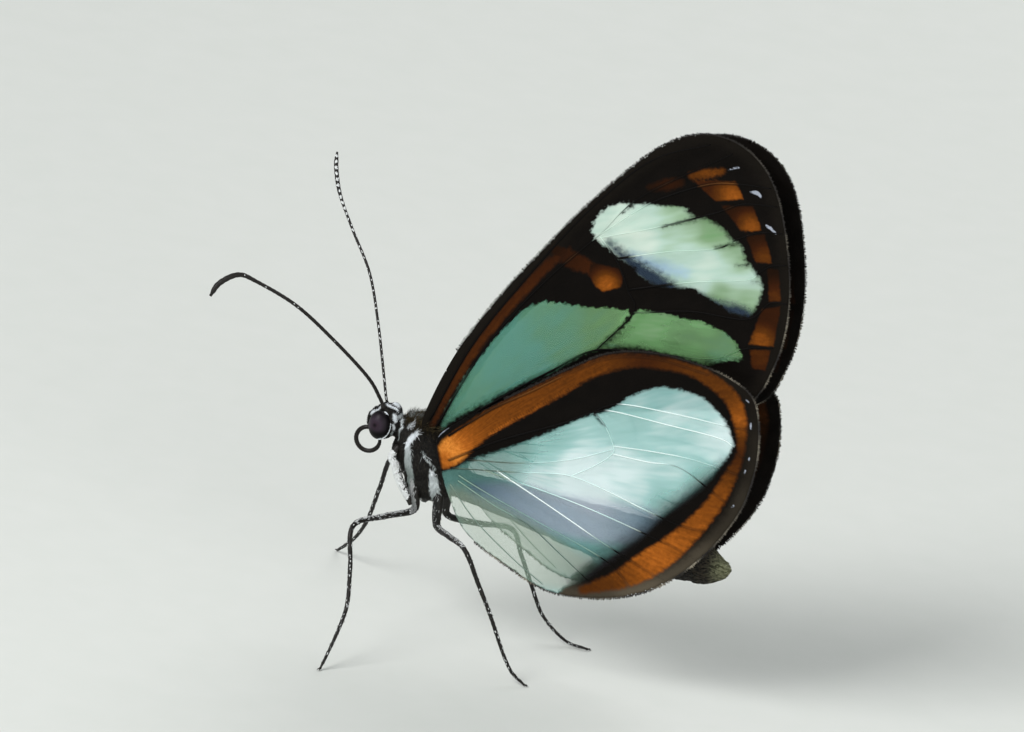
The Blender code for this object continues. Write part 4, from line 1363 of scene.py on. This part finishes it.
for word, side in SIDES.items():
    table = [(x, side * y, z, radius) for x, y, z, radius in FORELEG]
    curve = even_route(table, 0.1)[0]
    shape = bmesh.new()
    sweep(shape, curve[:, :3], curve[:, 3], 12)
    settle_swept(shape, f"brush_foreleg_{word}", leg_look, [f"foreleg_{word}"])
    leg_routes[f"foreleg_{word}"] = curve

# %% [markdown]
# The coat comes last. Short flat scales cover the body and lift a little; long fuzz stands on
# the back of the thorax and a few longer hairs round the wings' roots. All are scattered on
# the skin by its area and take their colours from the same marks.

# %% Body coat
skin.data.calc_loop_triangles()
triangles = np.array([tri.vertices for tri in skin.data.loop_triangles])
normals = np.array([vertex.normal for vertex in skin.data.vertices])


def eye_free(points):
    """True outside both eyes."""
    away = (one_sided(points) - np.array(EYE["centre"])) / np.array(EYE["radii"])
    return lengths(away) > 1.0


def coat(name, region, density, length, width, lift, flow, wander):
    """Scatters slivers over the part of the skin where region is true."""
    inside = region(skin_points[triangles].mean(1))
    places, ups = scatter(skin_points, triangles[inside], normals, density)
    free = eye_free(places)
    places, ups = places[free], ups[free]
    count = len(places)
    flows = np.array(flow, float) + random.normal(0, wander, (count, 3))
    sizes = varied_sizes(count, length, width, 0.65, 0.22)
    tone = random.random(count) ** 2.5
    slivers(name, coat_look, places, ups, flows, sizes,
            lift * random.uniform(0.4, 1.6, count), {**body_marks(places), "tone": tone})


coat("coat_head", lambda p: p[:, 0] < 0.3, 1500, 0.11, 0.036, 0.35, (0.6, 0, 0.3), 0.3)
coat("coat_thorax", lambda p: (p[:, 0] >= 0.3) & (p[:, 0] < 4.3), 360, 0.22, 0.045, 0.3,
     (0.35, 0, -1), 0.3)
coat("coat_abdomen", lambda p: p[:, 0] >= 4.3, 90, 0.22, 0.1, 0.12, (1, 0, 0), 0.15)
coat("coat_back", lambda p: (p[:, 0] > 0.1) & (p[:, 0] < 3.4) & (p[:, 2] > 11.75), 420, 0.32,
     0.022, 0.8, (0.9, 0, 0.3), 0.35)
coat("coat_wing_roots", lambda p: (p[:, 0] > 1.1) & (p[:, 0] < 3.4) & (p[:, 2] > 10.7) & (
    np.abs(p[:, 1]) > 0.8), 80, 0.5, 0.024, 0.6, (0.9, 0, -0.4), 0.45)

# %% [markdown]
# A rim of white scales hugs the eye's rear and lower margin, with a white spot above it. Its
# line is given on the eye's own globe: the angle round the eye, down from straight behind,
# and the share of the way out from the head.

# %% White rims of the eyes
EYE_RIM = [(20, -0.1), (0, -0.02), (-30, 0.12), (-58, 0.28), (-78, 0.36)]
EYE_SPOT = [(77, -0.16), (60, -0.16)]


def eye_rim(name, side, line, width, count):
    turn, outward = flowing(line, 40).T
    pick = random.integers(0, len(turn), count)
    turn, outward = np.radians(turn[pick]), outward[pick] + random.normal(0, width, count)
    ring = np.sqrt(1 - outward ** 2)
    ball = np.column_stack([ring * np.cos(turn), side * outward, ring * np.sin(turn)])
    radii = np.array(EYE["radii"])
    ups = unit(ball / radii)
    roots = np.array(EYE["centre"]) * (1, side, 1) + ball * radii
    flows = np.column_stack([np.sin(turn), np.zeros(count), -np.cos(turn)])
    sizes = np.tile((0.12, 0.045, 0.012), (count, 1))
    full, none = np.ones(count), np.zeros(count)
    slivers(name, coat_look, roots, ups, flows, sizes, 0.15, {
        "white": full, "shine": full, "brown": none, "blue_sheen": none, "rim": none, "tone": none})


for word, side in SIDES.items():
    eye_rim(f"eye_rim_{word}", side, EYE_RIM, 0.06, 560)
    eye_rim(f"eye_spot_{word}", side, EYE_SPOT, 0.075, 150)

# %% [markdown]
# The legs carry white scales among the black ones, thick on the forelegs and the coxae and
# sparser further down, and the feelers have a white fleck at each joint.

# %% Leg and antenna scales
flake_look = plain_finish("limb_scales", "#12100f", "#eef1f0", 0.2, 0.5, mask="pale")


def limb_scales(name, curve, radii, count, size, pale_share, window=(0.0, 1.0), facing=None,
                joint=0, spread=0.35, tone=1.0):
    """Flat scales on a limb, a share of them pale; facing and spread keep them to one side,
    and a joint, in steps of the curve, gathers them in rings."""
    low, high = window
    at = random.uniform(low, high, count) * (len(curve) - 1.01)
    if joint:
        ring = np.clip(at // joint * joint, 0, len(curve) - 1 - joint)
        at = ring + random.uniform(0, 0.35 * joint, count)
    index = at.astype(int)
    start, end = curve[index, :3], curve[index + 1, :3]
    spot = start + (end - start) * (at - index)[:, None]
    ahead = unit(end - start)
    out = random.normal(0, 1, (count, 3))
    if facing is not None:
        out = out * spread + np.array(facing)
    out -= (out * ahead).sum(1)[:, None] * ahead
    out = unit(out)
    sizes = varied_sizes(count, *size, 0.7, 0.16)
    pale = (random.random(count) < pale_share).astype(float)
    slivers(name, flake_look, spot + out * radii[index][:, None] * 0.98, out, ahead, sizes,
            0.12, {"pale": pale * tone * random.uniform(0.6, 1.0, count)})


for name, curve in leg_routes.items():
    side = SIDES[name.split("_")[1]]
    radii = curve[:, 3]
    if name.startswith("foreleg"):
        limb_scales(f"scales_{name}", curve, radii, 2500, (0.12, 0.055), 0.94, (0.11, 0.88),
                    (-0.5, side, 0.2), spread=0.5, tone=0.92)
        continue
    middle = name.startswith("mid")
    limb_scales(f"scales_{name}", curve, radii, 1500, (0.13, 0.045), 0.12, (0.12, 0.97))
    limb_scales(f"scales_coxa_{name}", curve, radii, 1100, (0.16, 0.06), 0.96 if middle else 0.12,
                (0.0, 0.16), (-0.5, side, 0.0), tone=0.42)
    limb_scales(f"scales_femur_{name}", curve, radii, 420, (0.12, 0.045), 0.7, (0.17, 0.42),
                (0.0, 0.2 * side, 1.0))
for word, count, share, window in (
        ("left", 16, 0.5, (0.3, 0.9)), ("right", 110, 0.6, (0.02, 0.75)),
        ("right", 160, 0.95, (0.75, 1.0))):
    route, radii = feeler_routes[word]
    limb_scales(f"scales_feeler_{word}_{window[1]:.0%}".replace("%", ""), route, radii, count,
                (0.11, 0.06), share, window, (0.2, -1.0, 0.35), 4)

# %% [markdown]
# The wing's margin has a fringe of hair scales that stand out in the wing's plane. They are
# set along the outline, each pointing outwards, and are left off near the root. Here and
# there a stretch of them is beige.

# %% Fringe
FRINGE_FREE = 5
fringe_look = plain_finish("fringe_scales", "#171310", "#beb49e", 0.2, 0.55, mask="pale")


def fringe(kind, word, plan):
    side = SIDES[word]
    outline = flowing(plan["outline"], 40, True)
    ahead = np.roll(outline, -1, axis=0) - outline
    out = unit(np.column_stack([-ahead[:, 1], ahead[:, 0]]))
    run = np.cumsum(lengths(ahead))
    beige = (0.5 + 0.5 * np.sin(1.9 * run + 2 * np.sin(0.6 * run))) ** 1.5
    keep = lengths(outline - np.array(plan["root"])) > FRINGE_FREE
    outline, out, beige = outline[keep], out[keep], beige[keep]
    count = len(outline)
    flat = outline - out * 0.03
    roots = upright(flat, plan, side)
    flows = np.column_stack([out[:, 0], np.zeros(count), out[:, 1]])
    flows += random.normal(0, 0.18, (count, 3))
    ups = np.tile((0.0, float(side), 0.0), (count, 1))
    sizes = np.column_stack([
        random.uniform(0.1, 0.2, count), random.uniform(0.05, 0.08, count), np.full(count, 0.012)])
    slivers(f"fringe_{kind}_{word}", fringe_look, roots, ups, flows, sizes, 0.0,
            {"pale": random.uniform(0.3, 1.3, count) * beige * from_places(flat, plan["fringe"])})


for word in SIDES:
    for kind, plan in WINGS.items():
        fringe(kind, word, plan)

# %% [markdown]
# Last, the scene is brought up to date.

# %% Last update
bpy.context.view_layer.update()
